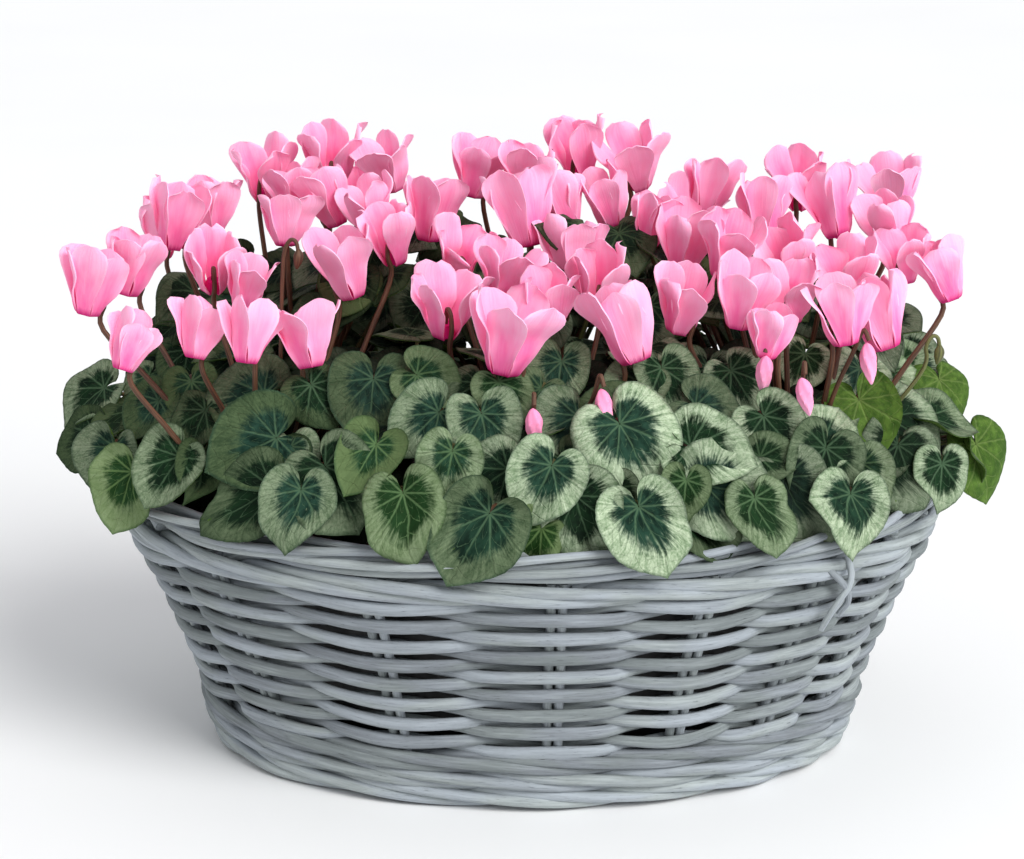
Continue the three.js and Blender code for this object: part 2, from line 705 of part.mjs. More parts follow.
// A furled bud: a slim spindle that hangs by its stalk
function budSolid(bud, extra) {
  const profile = [[0, -9], [1.6, -6], [2.9, 1], [2.2, 7], [0, 8.5]];
  const grown = profile.map(([r, z], i) => {
    const end = i === 0 || i === profile.length - 1;
    return new THREE.Vector2(end ? 0 : r + extra, z + (end ? Math.sign(z) * extra : 0));
  });
  const spindle = new THREE.LatheGeometry(grown, 6);
  spindle.rotateX(Math.PI / 2);
  spindle.translate(bud.middle.x, bud.middle.y, bud.middle.z);
  return toSolid(spindle);
}

function budStalkSolid(bud, extra) {
  const { middle, plant } = bud;
  const [cx, cy] = CROWNS[plant];
  const inward = new THREE.Vector3(cx - middle.x, cy - middle.y, 0).normalize();
  const top = middle.clone().add(new THREE.Vector3(0, 0, 9));
  const over = top.clone().addScaledVector(inward, 3).add(new THREE.Vector3(0, 0, 4));
  const side = middle.clone().addScaledVector(inward, 7);
  return stemSolid([stemRoot(plant), side, over, top], STALK_RADIUS * 0.85, extra);
}

function union(solids) {
  return wasm.Manifold.union(solids);
}

// Heads whose petals cross are one body, so they share a node
function joinCrossing(solids) {
  const groups = [];
  solids.forEach((solid, i) => {
    const touching = groups.filter((group) => group.some((j) => solids[j].intersect(solid).volume() > 0));
    touching.forEach((group) => groups.splice(groups.indexOf(group), 1));
    groups.push([...touching.flat(), i]);
  });
  return groups;
}

const heads = [...shownHeads(), ...hiddenHeads()];
const buds = BUDS.map(makeBud);
const leaves = layLeaves([...listedLeaves(), ...ringLeaves()]);

const part = new THREE.Group();

function addNode(name, geometry, color, roughness, metalness) {
  const material = new THREE.MeshStandardMaterial({ color, roughness, metalness });
  const mesh = new THREE.Mesh(geometry, material);
  mesh.name = name;
  part.add(mesh);
}

addNode("basket_base", basketBase(), 0x8d9499, 0.75, 0);
addNode("basket_side", basketSide(), 0x8d9499, 0.75, 0);
addNode("basket_border", borderRim(0), 0x959ca1, 0.75, 0);
addNode("liner", toGeometry(plasticLiner()), 0x141414, 0.5, 0);
addNode("compost", toGeometry(compost()), 0x2b1f16, 0.95, 0);

const HALF_GAP = 0.35;
const budSolids = buds.map((bud) => budSolid(bud, 0));
const fatStalks = union([
  ...heads.map((head) => stalkSolid(head, HALF_GAP)),
  ...buds.map((bud) => budStalkSolid(bud, HALF_GAP)),
]);
const fatPink = union([
  ...heads.map((head) => headSolid(head, HALF_GAP)),
  ...buds.map((bud) => budSolid(bud, HALF_GAP)),
]);

// Petals give way to stalks, and stay clear of them
const headSolids = heads.map((head) => headSolid(head, 0));
joinCrossing([...headSolids, ...budSolids]).forEach((group, i) => {
  const all = [...headSolids, ...budSolids];
  const joined = largestBody(union(group.map((j) => all[j])).subtract(fatStalks));
  const kind = group.every((j) => j >= headSolids.length) ? "bud" : "bloom";
  addNode(`${kind}_${i + 1}`, toGeometry(joined), 0xf08cbe, 0.55, 0);
});

// Blades give way to the basket's border, to petals and to the plants made before them
const fatRim = toSolid(borderRim(HALF_GAP));
let earlier = null;
CROWNS.forEach((crown, plant) => {
  const own = leaves.filter((leaf) => leaf.plant === plant);
  const otherStems = union([
    ...heads.filter((head) => head.plant !== plant).map((head) => stalkSolid(head, HALF_GAP)),
    ...buds.filter((bud) => bud.plant !== plant).map((bud) => budStalkSolid(bud, HALF_GAP)),
  ]);
  let blades = union(own.map((leaf) => leafSolid(leaf, 0)));
  blades = blades.subtract(fatPink).subtract(otherStems).subtract(fatRim);
  if (earlier) {
    blades = blades.subtract(earlier);
  }
  const stems = union([
    crownSolid(crown, 0),
    ...heads.filter((head) => head.plant === plant).map((head) => stalkSolid(head, 0)),
    ...buds.filter((bud) => bud.plant === plant).map((bud) => budStalkSolid(bud, 0)),
  ]);
  const fatBlades = union(own.map((leaf) => leafSolid(leaf, HALF_GAP)));
  earlier = earlier ? earlier.add(fatBlades) : fatBlades;
  addNode(`plant_${plant + 1}`, toGeometry(largestBody(blades.add(stems))), 0x3f6e50, 0.6, 0);
});

export default part;
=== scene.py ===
# %% [markdown]
# # A willow basket of miniature cyclamen
#
# The real object is a florist's gift: six small pink cyclamen planted side by side in one oval
# basket of grey-washed willow. The solids that come from the CAD part are right in size and place
# but coarse, so this lesson keeps their places and makes every surface again, finely: the woven
# rods, the marbled leaves, the stalks and the upswept petals.

# %% Load the frame
import math

import bpy
import numpy as np
from mathutils import Matrix, Vector, noise


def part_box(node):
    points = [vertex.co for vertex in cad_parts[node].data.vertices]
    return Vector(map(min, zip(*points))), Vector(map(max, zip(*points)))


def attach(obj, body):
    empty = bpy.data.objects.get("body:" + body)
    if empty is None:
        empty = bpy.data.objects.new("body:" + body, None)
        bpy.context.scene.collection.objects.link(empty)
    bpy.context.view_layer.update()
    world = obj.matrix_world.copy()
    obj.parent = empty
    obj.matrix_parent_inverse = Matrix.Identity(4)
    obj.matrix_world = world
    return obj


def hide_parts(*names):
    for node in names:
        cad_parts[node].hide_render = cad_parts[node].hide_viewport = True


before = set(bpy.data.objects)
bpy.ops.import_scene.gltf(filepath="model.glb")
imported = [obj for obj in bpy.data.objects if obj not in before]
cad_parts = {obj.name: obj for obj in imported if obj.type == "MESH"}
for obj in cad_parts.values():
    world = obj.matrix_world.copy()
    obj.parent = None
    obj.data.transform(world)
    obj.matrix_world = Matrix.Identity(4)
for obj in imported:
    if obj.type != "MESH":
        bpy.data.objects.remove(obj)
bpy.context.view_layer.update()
print("nodes in the frame:", len(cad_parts))

# %% [markdown]
# ## Sizes
#
# All sizes are in millimetres here, as a basket maker would write them, and become metres when a
# mesh is made. The height of the rim and the half lengths of the oval are the part's own. The places
# of the stakes are angles round the oval, in front and then repeated behind.

# %% Sizes of the basket and the plants
MM = 0.001
DEPTH_RATIO = 0.67
FLARE = np.array([
    [0, 141], [14, 145.5], [30, 149.5], [45, 155], [70, 164.5], [88, 173], [100, 179], [125, 182],
])
FRONT_STAKES = [199.6, 221, 247.7, 273.6, 294.7, 313.7, 331.1, 347.4]
BAYS = 2 * len(FRONT_STAKES)
ROW_COUNT = 8
ROW_PITCH = 9.6
FIRST_ROW_HEIGHT = 31.2
STAKE_LINE = -3.2
BORDER_END_RISE = 4
COMPOST_TOP = 110
CROWNS = [[-112, -42], [0, -50], [112, -42], [-112, 42], [0, 50], [112, 42]]
MOUND = {"length": 200, "depth": 118, "height": 60, "base": 130}
rim_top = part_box("basket_border")[1][2] / MM
print("the border rises to", round(rim_top, 1), "mm")

# %% [markdown]
# ## Chance, kept in hand
#
# Plants are irregular, so many small numbers are drawn by chance. The generator below gives the same
# numbers on every run, and in the same order as the part's own source, so each leaf and bloom lands
# where its solid is.

# %% Seeded random numbers
class Chance:
    """Repeatable random numbers from 0 to 1."""

    def __init__(self, seed):
        self.state = seed

    def draw(self):
        self.state = self.state * 16807 % 2147483647
        return self.state / 2147483647

    def jitter(self, amount):
        return (self.draw() * 2 - 1) * amount

    def between(self, low, high):
        return low + (high - low) * self.draw()


layout = Chance(1968)
finish_luck = Chance(77)
print("first draw of a copy:", round(Chance(1968).draw(), 4))

# %% [markdown]
# ## The camera
#
# The camera stands where the photographer stood, worked out from the outline of the rim, the foot and
# the bulge of the wall: 1.3 m away, 20.4 degrees above level, with a 100 mm lens. The object sits low
# in that picture, so the lens is aimed a few degrees higher instead of being shifted, which keeps
# the other views of the object centred.

# %% Camera
PHOTO_WIDTH, PHOTO_HEIGHT = 1024, 859
VIEW = {"elevation": 20.4, "distance": 1300, "focal": 2848, "across": 531.5, "down": 602, "height": 60}
SENSOR_WIDTH = 36

elevation = math.radians(VIEW["elevation"])
view_forward = Vector((0, math.cos(elevation), -math.sin(elevation)))
view_up = Vector((0, math.sin(elevation), math.cos(elevation)))
view_from = Vector((0, 0, VIEW["height"])) - view_forward * VIEW["distance"]

lens = bpy.data.cameras.new("camera")
lens.sensor_width = SENSOR_WIDTH
lens.lens = VIEW["focal"] / PHOTO_WIDTH * SENSOR_WIDTH
lens.clip_start = 0.05
camera = bpy.data.objects.new("camera", lens)
bpy.context.scene.collection.objects.link(camera)
raise_by = math.atan((VIEW["down"] - PHOTO_HEIGHT / 2) / VIEW["focal"])
turn_by = math.atan((VIEW["across"] - PHOTO_WIDTH / 2) / VIEW["focal"])
camera.location = view_from * MM
camera.rotation_euler = (math.pi / 2 - elevation + raise_by, 0, turn_by)
bpy.context.scene.camera = camera
print("camera at", [round(v, 3) for v in camera.location])

# %% [markdown]
# ## Shader maths that reads like maths
#
# A finish in Blender is a graph of nodes. Written out node by node, one line of arithmetic fills a
# page. The little class below wraps a socket, so that `1 - mask * 0.5` adds the Math nodes itself.
# `Finish` is a material with one method that adds any other node.

# %% Wire
class Wire:
    """One value in a shader, with ordinary arithmetic."""

    def __init__(self, finish, socket):
        self.finish = finish
        self.socket = socket

    def maths(self, operation, *others):
        values = dict(enumerate([self, *others]))
        return self.finish.node("ShaderNodeMath", {"operation": operation}, values)

    def __add__(self, other):
        return self.maths("ADD", other)

    def __sub__(self, other):
        return self.maths("SUBTRACT", other)

    def __mul__(self, other):
        return self.maths("MULTIPLY", other)

    def __truediv__(self, other):
        return self.maths("DIVIDE", other)

    def __rsub__(self, first):
        return self.finish.node("ShaderNodeMath", {"operation": "SUBTRACT"}, {0: first, 1: self})

    __radd__ = __add__
    __rmul__ = __mul__

    def step(self, low, high):
        """0 below low, 1 above high, smooth between."""
        settings = {"interpolation_type": "SMOOTHSTEP"}
        sockets = {"Value": self, "From Min": low, "From Max": high}
        return self.finish.node("ShaderNodeMapRange", settings, sockets)


print("a Wire can be added, subtracted, multiplied, divided and stepped")

# %% Finish
class Finish:
    """A material with its Principled shader."""

    def __init__(self, name, **plain):
        self.material = bpy.data.materials.new(name)
        self.material.use_nodes = True
        self.tree = self.material.node_tree
        self.shader = self.tree.nodes["Principled BSDF"]
        for socket, value in plain.items():
            self.shader.inputs[socket.replace("_", " ")].default_value = value

    def feed(self, socket, value):
        if isinstance(value, Wire):
            self.tree.links.new(value.socket, socket)
        else:
            socket.default_value = value

    def node(self, kind, settings=None, sockets=None, output=0):
        node = self.tree.nodes.new(kind)
        for name, value in (settings or {}).items():
            setattr(node, name, value)
        for name, value in (sockets or {}).items():
            self.feed(node.inputs[name], value)
        return Wire(self, node.outputs[output])

    def note(self, name, output="Fac"):
        """A number or a vector that the mesh carries at its points."""
        return self.node("ShaderNodeAttribute", {"attribute_name": name}, output=output)

    def parts(self, vector):
        """The three numbers of a vector."""
        first = self.node("ShaderNodeSeparateXYZ", sockets={"Vector": vector})
        outputs = first.socket.node.outputs
        return [Wire(self, socket) for socket in outputs]

    def vector(self, x, y, z):
        return self.node("ShaderNodeCombineXYZ", sockets={"X": x, "Y": y, "Z": z})

    def noise(self, vector, scale, detail=3.0, roughness=0.55):
        sockets = {"Vector": vector, "Scale": scale, "Detail": detail, "Roughness": roughness}
        return self.node("ShaderNodeTexNoise", sockets=sockets)

    def mix(self, factor, first, second):
        """One colour faded into another; a Mix node for colours has its sockets at 0, 6, 7 and 2."""
        sockets = {0: factor, 6: first, 7: second}
        return self.node("ShaderNodeMix", {"data_type": "RGBA"}, sockets, output=2)

    def bump(self, height, distance, strength):
        sockets = {"Height": height, "Distance": distance, "Strength": strength}
        return self.node("ShaderNodeBump", sockets=sockets)

    def finish(self, **sockets):
        for socket, value in sockets.items():
            self.feed(self.shader.inputs[socket.replace("_", " ")], value)
        return self.material


print("a Finish is ready to hold the nodes of one material")

# %% Colours as seen on a screen
def paint(red, green, blue):
    """A colour as seen on a screen, 0 to 255, turned into the linear colour of a shader."""
    linear = []
    for shown in (red, green, blue):
        linear.append(((shown / 255 + 0.055) / 1.055) ** 2.4 if shown > 10 else shown / 255 / 12.92)
    return (*linear, 1.0)


print("mid grey is", [round(v, 3) for v in paint(128, 128, 128)])

# %% [markdown]
# ## Meshes from grids
#
# Rods, leaves and petals are all sheets or tubes, and both are grids of points. `Skin` gathers many
# grids into one piece, with named numbers at each point that the finish reads later: how far along
# the rod, how near the leaf's edge, and so on. That way each marking stays with its own leaf.

# %% Curves and tubes
def unit(vectors):
    """Each row of an array at length 1."""
    return vectors / np.linalg.norm(vectors, axis=-1, keepdims=True)


def smooth(points, count):
    """A curve through listed points, with `count` points evenly in the list's own steps."""
    points = np.asarray(points, float)
    padded = np.vstack([2 * points[0] - points[1], points, 2 * points[-1] - points[-2]])
    at = np.linspace(0, len(points) - 1, count)
    index = np.minimum(at.astype(int), len(points) - 2)
    t = (at - index)[:, None]
    p0, p1, p2, p3 = (padded[index + k] for k in range(4))
    return 0.5 * (2 * p1 + (p2 - p0) * t + (2 * p0 - 5 * p1 + 4 * p2 - p3) * t ** 2
                  + (3 * p1 - p0 - 3 * p2 + p3) * t ** 3)


def tube_faces(rings, sides, closed):
    """Faces of a tube of rings, with a cap at each end unless it closes on itself."""
    faces = []
    for r in range(rings if closed else rings - 1):
        following = (r + 1) % rings
        for s in range(sides):
            t = (s + 1) % sides
            faces.append((r * sides + s, r * sides + t, following * sides + t, following * sides + s))
    if not closed:
        faces.append(tuple(range(sides - 1, -1, -1)))
        faces.append(tuple((rings - 1) * sides + s for s in range(sides)))
    return faces


print("a tube of three rings of eight points has", len(tube_faces(3, 8, False)), "faces")

# %% Skin, the gatherer of faces
SHARP_ANGLE = 62


class Skin:
    """Gathers points, faces and the named numbers at the points of one piece."""

    def __init__(self):
        self.points = []
        self.faces = []
        self.notes = {}
        self.count = 0

    def add(self, points, faces, **notes):
        points = np.asarray(points, float).reshape(-1, 3)
        self.faces.extend(tuple(i + self.count for i in face) for face in faces)
        self.points.append(points)
        self.count += len(points)
        for name, value in notes.items():
            value = np.asarray(value, float)
            shape = (len(points), 3) if value.ndim and value.shape[-1] == 3 else (len(points),)
            self.notes.setdefault(name, []).append(np.broadcast_to(value, shape))

    def piece(self, name, material, slot, *replaced):
        mesh = bpy.data.meshes.new(name)
        mesh.from_pydata(np.concatenate(self.points) * MM, [], self.faces)
        for note, values in self.notes.items():
            values = np.concatenate(values)
            kind = "FLOAT_VECTOR" if values.ndim == 2 else "FLOAT"
            layer = mesh.attributes.new(note, kind, "POINT")
            layer.data.foreach_set("vector" if values.ndim == 2 else "value", values.ravel())
        mesh.polygons.foreach_set("use_smooth", [True] * len(mesh.polygons))
        mesh.set_sharp_from_angle(angle=math.radians(SHARP_ANGLE))
        mesh.materials.append(material)
        piece = bpy.data.objects.new(name, mesh)
        bpy.context.scene.collection.objects.link(piece)
        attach(piece, "root")
        if replaced:
            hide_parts(*replaced)
        triangles = sum(len(face) - 2 for face in self.faces)
        print(name, "has", triangles, "triangles")


print("an empty skin has", Skin().count, "points")

# %% Rods
GRAIN_RADIUS = 3


def rod(skin, path, wide, tall, upward=(0, 0, 1), sides=8, closed=False, tone=0.5):
    """A rod of oval section along a path. `wide` is its half width, `tall` its half height."""
    path = np.asarray(path, float)
    tangent = np.roll(path, -1, 0) - np.roll(path, 1, 0) if closed else np.gradient(path, axis=0)
    side = unit(np.cross(unit(tangent), np.broadcast_to(upward, path.shape)))
    top = np.cross(side, unit(tangent))
    turn = np.linspace(0, 2 * math.pi, sides, endpoint=False)
    wide = np.broadcast_to(wide, len(path))[:, None, None]
    tall = np.broadcast_to(tall, len(path))[:, None, None]
    around = np.stack([np.cos(turn), np.sin(turn)], 1)
    points = path[:, None] + side[:, None] * wide * around[None, :, :1]
    points = points + top[:, None] * tall * around[None, :, 1:]
    steps = np.linalg.norm(np.diff(path, axis=0), axis=1)
    along = np.concatenate([[0], np.cumsum(steps)])
    grain = np.empty((len(path), sides, 3))
    grain[..., 0] = along[:, None]
    grain[..., 1:] = around[None] * GRAIN_RADIUS
    skin.add(points, tube_faces(len(path), sides, closed), grain=grain.reshape(-1, 3), tone=tone)


practice = Skin()
rod(practice, [[0, 0, 0], [0, 0, 10]], 1, 1, (1, 0, 0))
print("a short straight rod has", practice.count, "points")

# %% [markdown]
# ## Grey-washed willow
#
# The rods were dipped in thin grey paint. It lies paler on top, wears through in streaks along the
# grain and leaves fine dark cracks. So the colour, the roughness and the bump all come from one
# noise that is stretched along each rod, and each rod has a tone of its own.

# %% Finish of the willow
def willow_finish():
    finish = Finish("grey_washed_willow", IOR=1.4, Specular_IOR_Level=0.25)
    along, across, through = finish.parts(finish.note("grain", "Vector"))
    tone = finish.note("tone")
    shift = tone * 40
    streak_at = finish.vector(along * 0.05 + shift, across * 0.9, through * 0.9)
    streak = finish.noise(streak_at, 1.0, 5.0, 0.6)
    fibre_at = finish.vector(along * 0.18 + shift, across * 3.2, through * 3.2)
    fibre = finish.noise(fibre_at, 1.0, 4.0, 0.65)
    blotch_at = finish.vector(along * 0.02 + shift, across * 0.1, through * 0.1)
    blotch = finish.noise(blotch_at, 1.0, 2.0)
    crack = fibre.step(0.38, 0.31) * streak.step(0.6, 0.45)
    pale = streak * 0.6 + blotch * 0.35 + tone * 0.3 - 0.12
    green_grey = finish.mix(pale.step(0.2, 0.85), paint(116, 123, 124), paint(182, 190, 190))
    blue_grey = finish.mix(pale.step(0.2, 0.85), paint(114, 119, 124), paint(172, 180, 187))
    wash = finish.mix(blotch.step(0.38, 0.6), green_grey, blue_grey)
    worn = finish.mix(fibre.step(0.6, 0.76) * 0.4, wash, paint(136, 133, 124))
    cracked = finish.mix(crack * 0.7, worn, paint(58, 61, 64))
    height = fibre * 0.7 + streak * 0.6 - crack * 0.8
    return finish.finish(
        Base_Color=cracked,
        Roughness=0.74 + fibre * 0.2,
        Normal=finish.bump(height, 0.0007, 0.6),
    )


willow = willow_finish()
print("made", willow.name)

# %% [markdown]
# ## Where the wall runs
#
# The basket is an oval that flares from foot to rim. Every rod is placed on it by three numbers: how
# many bays it has gone round, how high it lies, and how far outside the drawn oval its middle runs.

# %% Places on the wall
stake_angles = np.radians([a - 180 for a in FRONT_STAKES] + FRONT_STAKES)


def bay_angle(bays):
    """The angle round the oval after a number of bays; whole numbers are stakes."""
    rounds = np.floor_divide(bays, BAYS)
    listed = np.append(stake_angles, stake_angles[0] + 2 * math.pi)
    return np.interp(bays - rounds * BAYS, np.arange(BAYS + 1), listed) + rounds * 2 * math.pi


def on_wall(bays, height, offset):
    """Points on the wall, in millimetres."""
    angle = bay_angle(np.asarray(bays, float))
    half = np.interp(height, FLARE[:, 0], FLARE[:, 1])
    x = (half + offset) * np.cos(angle)
    y = (half * DEPTH_RATIO + offset) * np.sin(angle)
    return np.stack([x, y, np.broadcast_to(height, x.shape)], 1)


def outwards(bays):
    angle = bay_angle(np.asarray(bays, float))
    return unit(np.stack([DEPTH_RATIO * np.cos(angle), np.sin(angle), np.zeros(len(angle))], 1))


WANDER = {"round": 3, "apart": 7.3, "lift": 1.7, "climb": 0.21}


def wander(bays, size, seed):
    """A slow wobble along a rod."""
    wobble = []
    for turn, bay in zip(bay_angle(bays), bays):
        x = math.cos(turn) * WANDER["round"] + seed * WANDER["apart"]
        y = math.sin(turn) * WANDER["round"]
        wobble.append(noise.noise((x, y, seed * WANDER["lift"] + bay * WANDER["climb"])))
    return size * np.array(wobble)


print("oval at the rim:", np.round(on_wall([0, 4], 125, 0), 1).tolist())

# %% [markdown]
# ## Stakes
#
# The uprights of the wall are pairs of thin rods. They could be left out, but the openings beside
# each pair show them, and they throw the shadows that make the weave look deep.

# %% Stakes
STAKE_RADIUS = 2.1
STAKE_SPREAD = 2.4
STAKE_FOOT = 3
STAKE_HEAD = 112
STAKE_RINGS = 15
STAKE_WOBBLE = 0.6
WOBBLE_BAYS_PER_MM = 0.05

stakes = Skin()
for stake in range(BAYS):
    heights = np.linspace(STAKE_FOOT, STAKE_HEAD, STAKE_RINGS)
    bays = np.full(STAKE_RINGS, float(stake))
    angle = stake_angles[stake]
    direction = unit(np.array([[-math.sin(angle), DEPTH_RATIO * math.cos(angle), 0]]))
    for side in (-1, 1):
        path = on_wall(bays, heights, STAKE_LINE) + direction * side * STAKE_SPREAD
        path += direction * wander(heights * WOBBLE_BAYS_PER_MM, STAKE_WOBBLE, stake + side)[:, None]
        rod(stakes, path, STAKE_RADIUS, STAKE_RADIUS, outwards(bays), tone=finish_luck.draw())
stakes.piece("stakes", willow, "willow")

# %% [markdown]
# ## Twined rows
#
# Each row is a pair of flat weavers, and each goes in front of one stake and behind the next. Between
# two stakes the pair spreads, which leaves a dark, lens-shaped opening, and it closes again where the
# weavers cross beside a stake. Twisting the pair with sine waves would be simpler, but makes every
# opening the same. A short list of heights for each weaver, as it goes from the front of a stake to
# the back of the next, gives the openings of the photograph.

# %% Twined rows
WEAVER_TALL = 3.0
WEAVER_WIDE = 1.75
WEAVER_REACH = 3.7
CROSSING_FLATTEN = 0.12
STEPS_PER_BAY = 12
WEAVER_SIDES = 10
WEAVER_WOBBLE = {"up": 0.9, "out": 0.7, "thick": 0.14}
WEAVER_BEND = 0.55
HIDDEN_SQUEEZE = 0.3
UPPER_WEAVER = [[0, 0], [0.15, 0.2], [0.32, 1.5], [0.5, 2.3], [0.68, 1.4], [0.85, -1.2], [1, -2.2]]
LOWER_WEAVER = [[0, -2.2], [0.15, -2.3], [0.32, -2.6], [0.5, -2.6], [0.68, -2.2], [0.85, -0.9], [1, -0.4]]


def weaver_height(bays, heights):
    """The listed heights, front of a stake at 0 and behind the next at 1, repeated and smoothed."""
    listed = np.array(heights)
    fold = 1 - np.abs(bays % 2 - 1)
    height = np.interp(fold, listed[:, 0], listed[:, 1])
    for _ in range(2):
        height = (np.roll(height, 1) + height + np.roll(height, -1)) / 3
    return height


weavers = Skin()
for row in range(ROW_COUNT):
    for strand, heights in enumerate((UPPER_WEAVER, LOWER_WEAVER)):
        bays = np.arange(BAYS * STEPS_PER_BAY) / STEPS_PER_BAY
        front = np.cos(math.pi * (bays + strand))
        seed = row * 2 + strand
        height = FIRST_ROW_HEIGHT + row * ROW_PITCH + weaver_height(bays + strand, heights)
        height = height + wander(bays, WEAVER_WOBBLE["up"], row + 0.4 * strand)
        offset = STAKE_LINE + WEAVER_REACH * np.sign(front) * np.abs(front) ** WEAVER_BEND
        offset = offset + wander(bays, WEAVER_WOBBLE["out"], seed + 31)
        crossing = 1 - CROSSING_FLATTEN * (1 - front ** 2)
        hidden = 1 - HIDDEN_SQUEEZE * np.clip(-front, 0, 1)
        thick = 1 + wander(bays, WEAVER_WOBBLE["thick"], seed + 53)
        path = on_wall(bays, height, offset)
        tall = WEAVER_TALL * thick * crossing * hidden
        tone = finish_luck.draw()
        rod(weavers, path, WEAVER_WIDE * thick, tall, closed=True, tone=tone, sides=WEAVER_SIDES)
weavers.piece("twined_rows", willow, "willow", "basket_side")

# %% [markdown]
# ## Wales
#
# The foot and the top of the wall are held by a heavier weave, the three-rod wale. Each rod passes in
# front of two stakes and behind one, so its strokes are long and slanted like a rope's. Three rods
# that start one stake apart would close on themselves only after three rounds of sixteen stakes, so
# one long loop of three rounds stands for all three.

# %% Wales
WALE_ROUTE = [
    [0, 0, 2.6], [0.5, 0.92, 2.1], [1, 1, 0], [1.5, 0.92, -2.1], [2, 0, -2.6], [2.5, -1, 0], [3, 0, 2.6],
]
WALE_HEIGHTS = [5.9, 14.4, 22.6, 107.0]
WALE_REACH = 4.2
WALE_TALL = 2.75
WALE_WIDE = 2.5
WALE_WOBBLE = {"up": 0.9, "out": 0.7, "thick": 0.18}
WALE_PERIOD = 3


def wale_route():
    """The route of one period of three bays, closely sampled."""
    before = [[bay - WALE_PERIOD, front, height] for bay, front, height in WALE_ROUTE[:-1]]
    after = [[bay + WALE_PERIOD, front, height] for bay, front, height in WALE_ROUTE[1:]]
    fine = smooth(before + WALE_ROUTE + after, 400)
    return fine[:, 0], fine[:, 1], fine[:, 2]


wales = Skin()
route_bays, route_front, route_height = wale_route()
for level, middle in enumerate(WALE_HEIGHTS):
    bays = np.arange(WALE_PERIOD * BAYS * STEPS_PER_BAY) / STEPS_PER_BAY
    period = (bays + 0.5) % WALE_PERIOD
    front = np.interp(period, route_bays, route_front)
    height = middle + np.interp(period, route_bays, route_height)
    height = height + wander(bays, WALE_WOBBLE["up"], level + 3.3)
    offset = STAKE_LINE + WALE_REACH * front + wander(bays, WALE_WOBBLE["out"], level + 8.1)
    thick = 1 + wander(bays, WALE_WOBBLE["thick"], level + 12.7)
    path = on_wall(bays, height, offset)
    rod(wales, path, WALE_WIDE * thick, WALE_TALL * thick, closed=True, tone=finish_luck.draw())
wales.piece("wales", willow, "willow")

# %% [markdown]
# ## The border
#
# At the rim each pair of stakes bends to the right, runs inside the next pair, comes out in front of
# the one after, climbs over the edge and ends inside. Sixteen pairs doing so make one rope-like
# border whose strokes slant upwards. The route below is that of one pair; the rest repeat it.

# %% Border
BORDER_ROUTE = [
    [0.0, -4.6, 109], [0.16, -6.4, 113.2], [0.55, -8.0, 115.6], [1.1, -6.6, 115.6], [1.6, -1.2, 115.6],
    [2.1, 1.6, 117.0], [2.6, 1.4, 120.2], [3.1, -1.6, 122.4], [3.6, -5.6, 122.8], [4.0, -9.6, 120.6],
]
BORDER_ROD = 2.3
BORDER_STEPS = 44
BORDER_TAPER = 0.25
BORDER_EASE = {"from": 0.1, "over": 0.5}
BORDER_WOBBLE = {"up": 1.2, "out": 1.4}
# How far the two rods of a pair lag along the rim, stand out and stand up
BORDER_SPLIT = [[0.0, 0.9, 1.6], [0.1, -1.3, -1.5]]


def end_rise(bays):
    return BORDER_END_RISE * np.cos(bay_angle(bays)) ** 6


border = Skin()
for stake in range(BAYS):
    for number, (lag, out, up) in enumerate(BORDER_SPLIT):
        route = smooth(BORDER_ROUTE, BORDER_STEPS)
        ease = np.clip((route[:, 0] - BORDER_EASE["from"]) / BORDER_EASE["over"], 0, 1)
        bays = stake + route[:, 0] + lag
        seed = stake + 0.5 * number
        offset = route[:, 1] + out * ease + wander(bays, BORDER_WOBBLE["out"], seed + 61)
        height = route[:, 2] + up * ease + ease * end_rise(bays)
        height = height + wander(bays, BORDER_WOBBLE["up"], seed + 83) * ease
        radius = BORDER_ROD * (1 - BORDER_TAPER * route[:, 0] / BORDER_ROUTE[-1][0])
        path = on_wall(bays, np.minimum(height, FLARE[-1][0]), offset)
        path[:, 2] = height
        rod(border, path, radius, radius, outwards(bays), tone=finish_luck.draw())
border.piece("border", willow, "willow", "basket_border")

# %% [markdown]
# ## Loops at the two ends
#
# At each end two rods leave the border, arch over a small gap and dive back in: the stubs of handles.
# Two cut ends hang from the border at the right, and one sticks out of the wall at the back.

# %% End loops and cut ends
LOOP_ROUTE = [
    [-1.3, -3, 116], [-0.9, -1, 122], [-0.35, 1.5, 130], [0.2, 1.5, 132.5], [0.75, 0, 128], [1.2, -4, 119],
]
LOOP_ROD = 3.0
LOOP_BAYS = [7.5, 15.5]
LOOP_STRETCH = 0.62
LOOP_TWIST = 2.6
LOOP_LIFT = 2.0
CUT_ENDS = [
    [[13.2, 2.0, 112], [13.16, 7.0, 104], [13.06, 8.2, 92], [13.04, 7.0, 80]],
    [[13.0, 1.0, 108], [13.08, 6.5, 102], [13.2, 8.0, 93], [13.18, 7.4, 86]],
    [[4.4, 2.4, 74], [4.5, 6.0, 70], [4.52, 7.0, 67]],
]
CUT_ROD = 1.5

extras = Skin()
for middle_bay in LOOP_BAYS:
    for lean in (-1, 1):
        route = smooth(LOOP_ROUTE, 30)
        bays = middle_bay + route[:, 0] * LOOP_STRETCH * lean
        twist = LOOP_TWIST * np.sin(np.linspace(0, 2 * math.pi, len(bays)))
        path = on_wall(bays, np.minimum(route[:, 2], FLARE[-1][0]), route[:, 1] + twist * lean)
        path[:, 2] = route[:, 2] + LOOP_LIFT * lean
        rod(extras, path, LOOP_ROD, LOOP_ROD, outwards(bays), tone=finish_luck.draw())
for route in CUT_ENDS:
    route = smooth(route, 12)
    path = on_wall(route[:, 0], route[:, 2], route[:, 1])
    rod(extras, path, CUT_ROD, CUT_ROD, (1, 0, 0), tone=finish_luck.draw())
extras.piece("end_loops", willow, "willow")

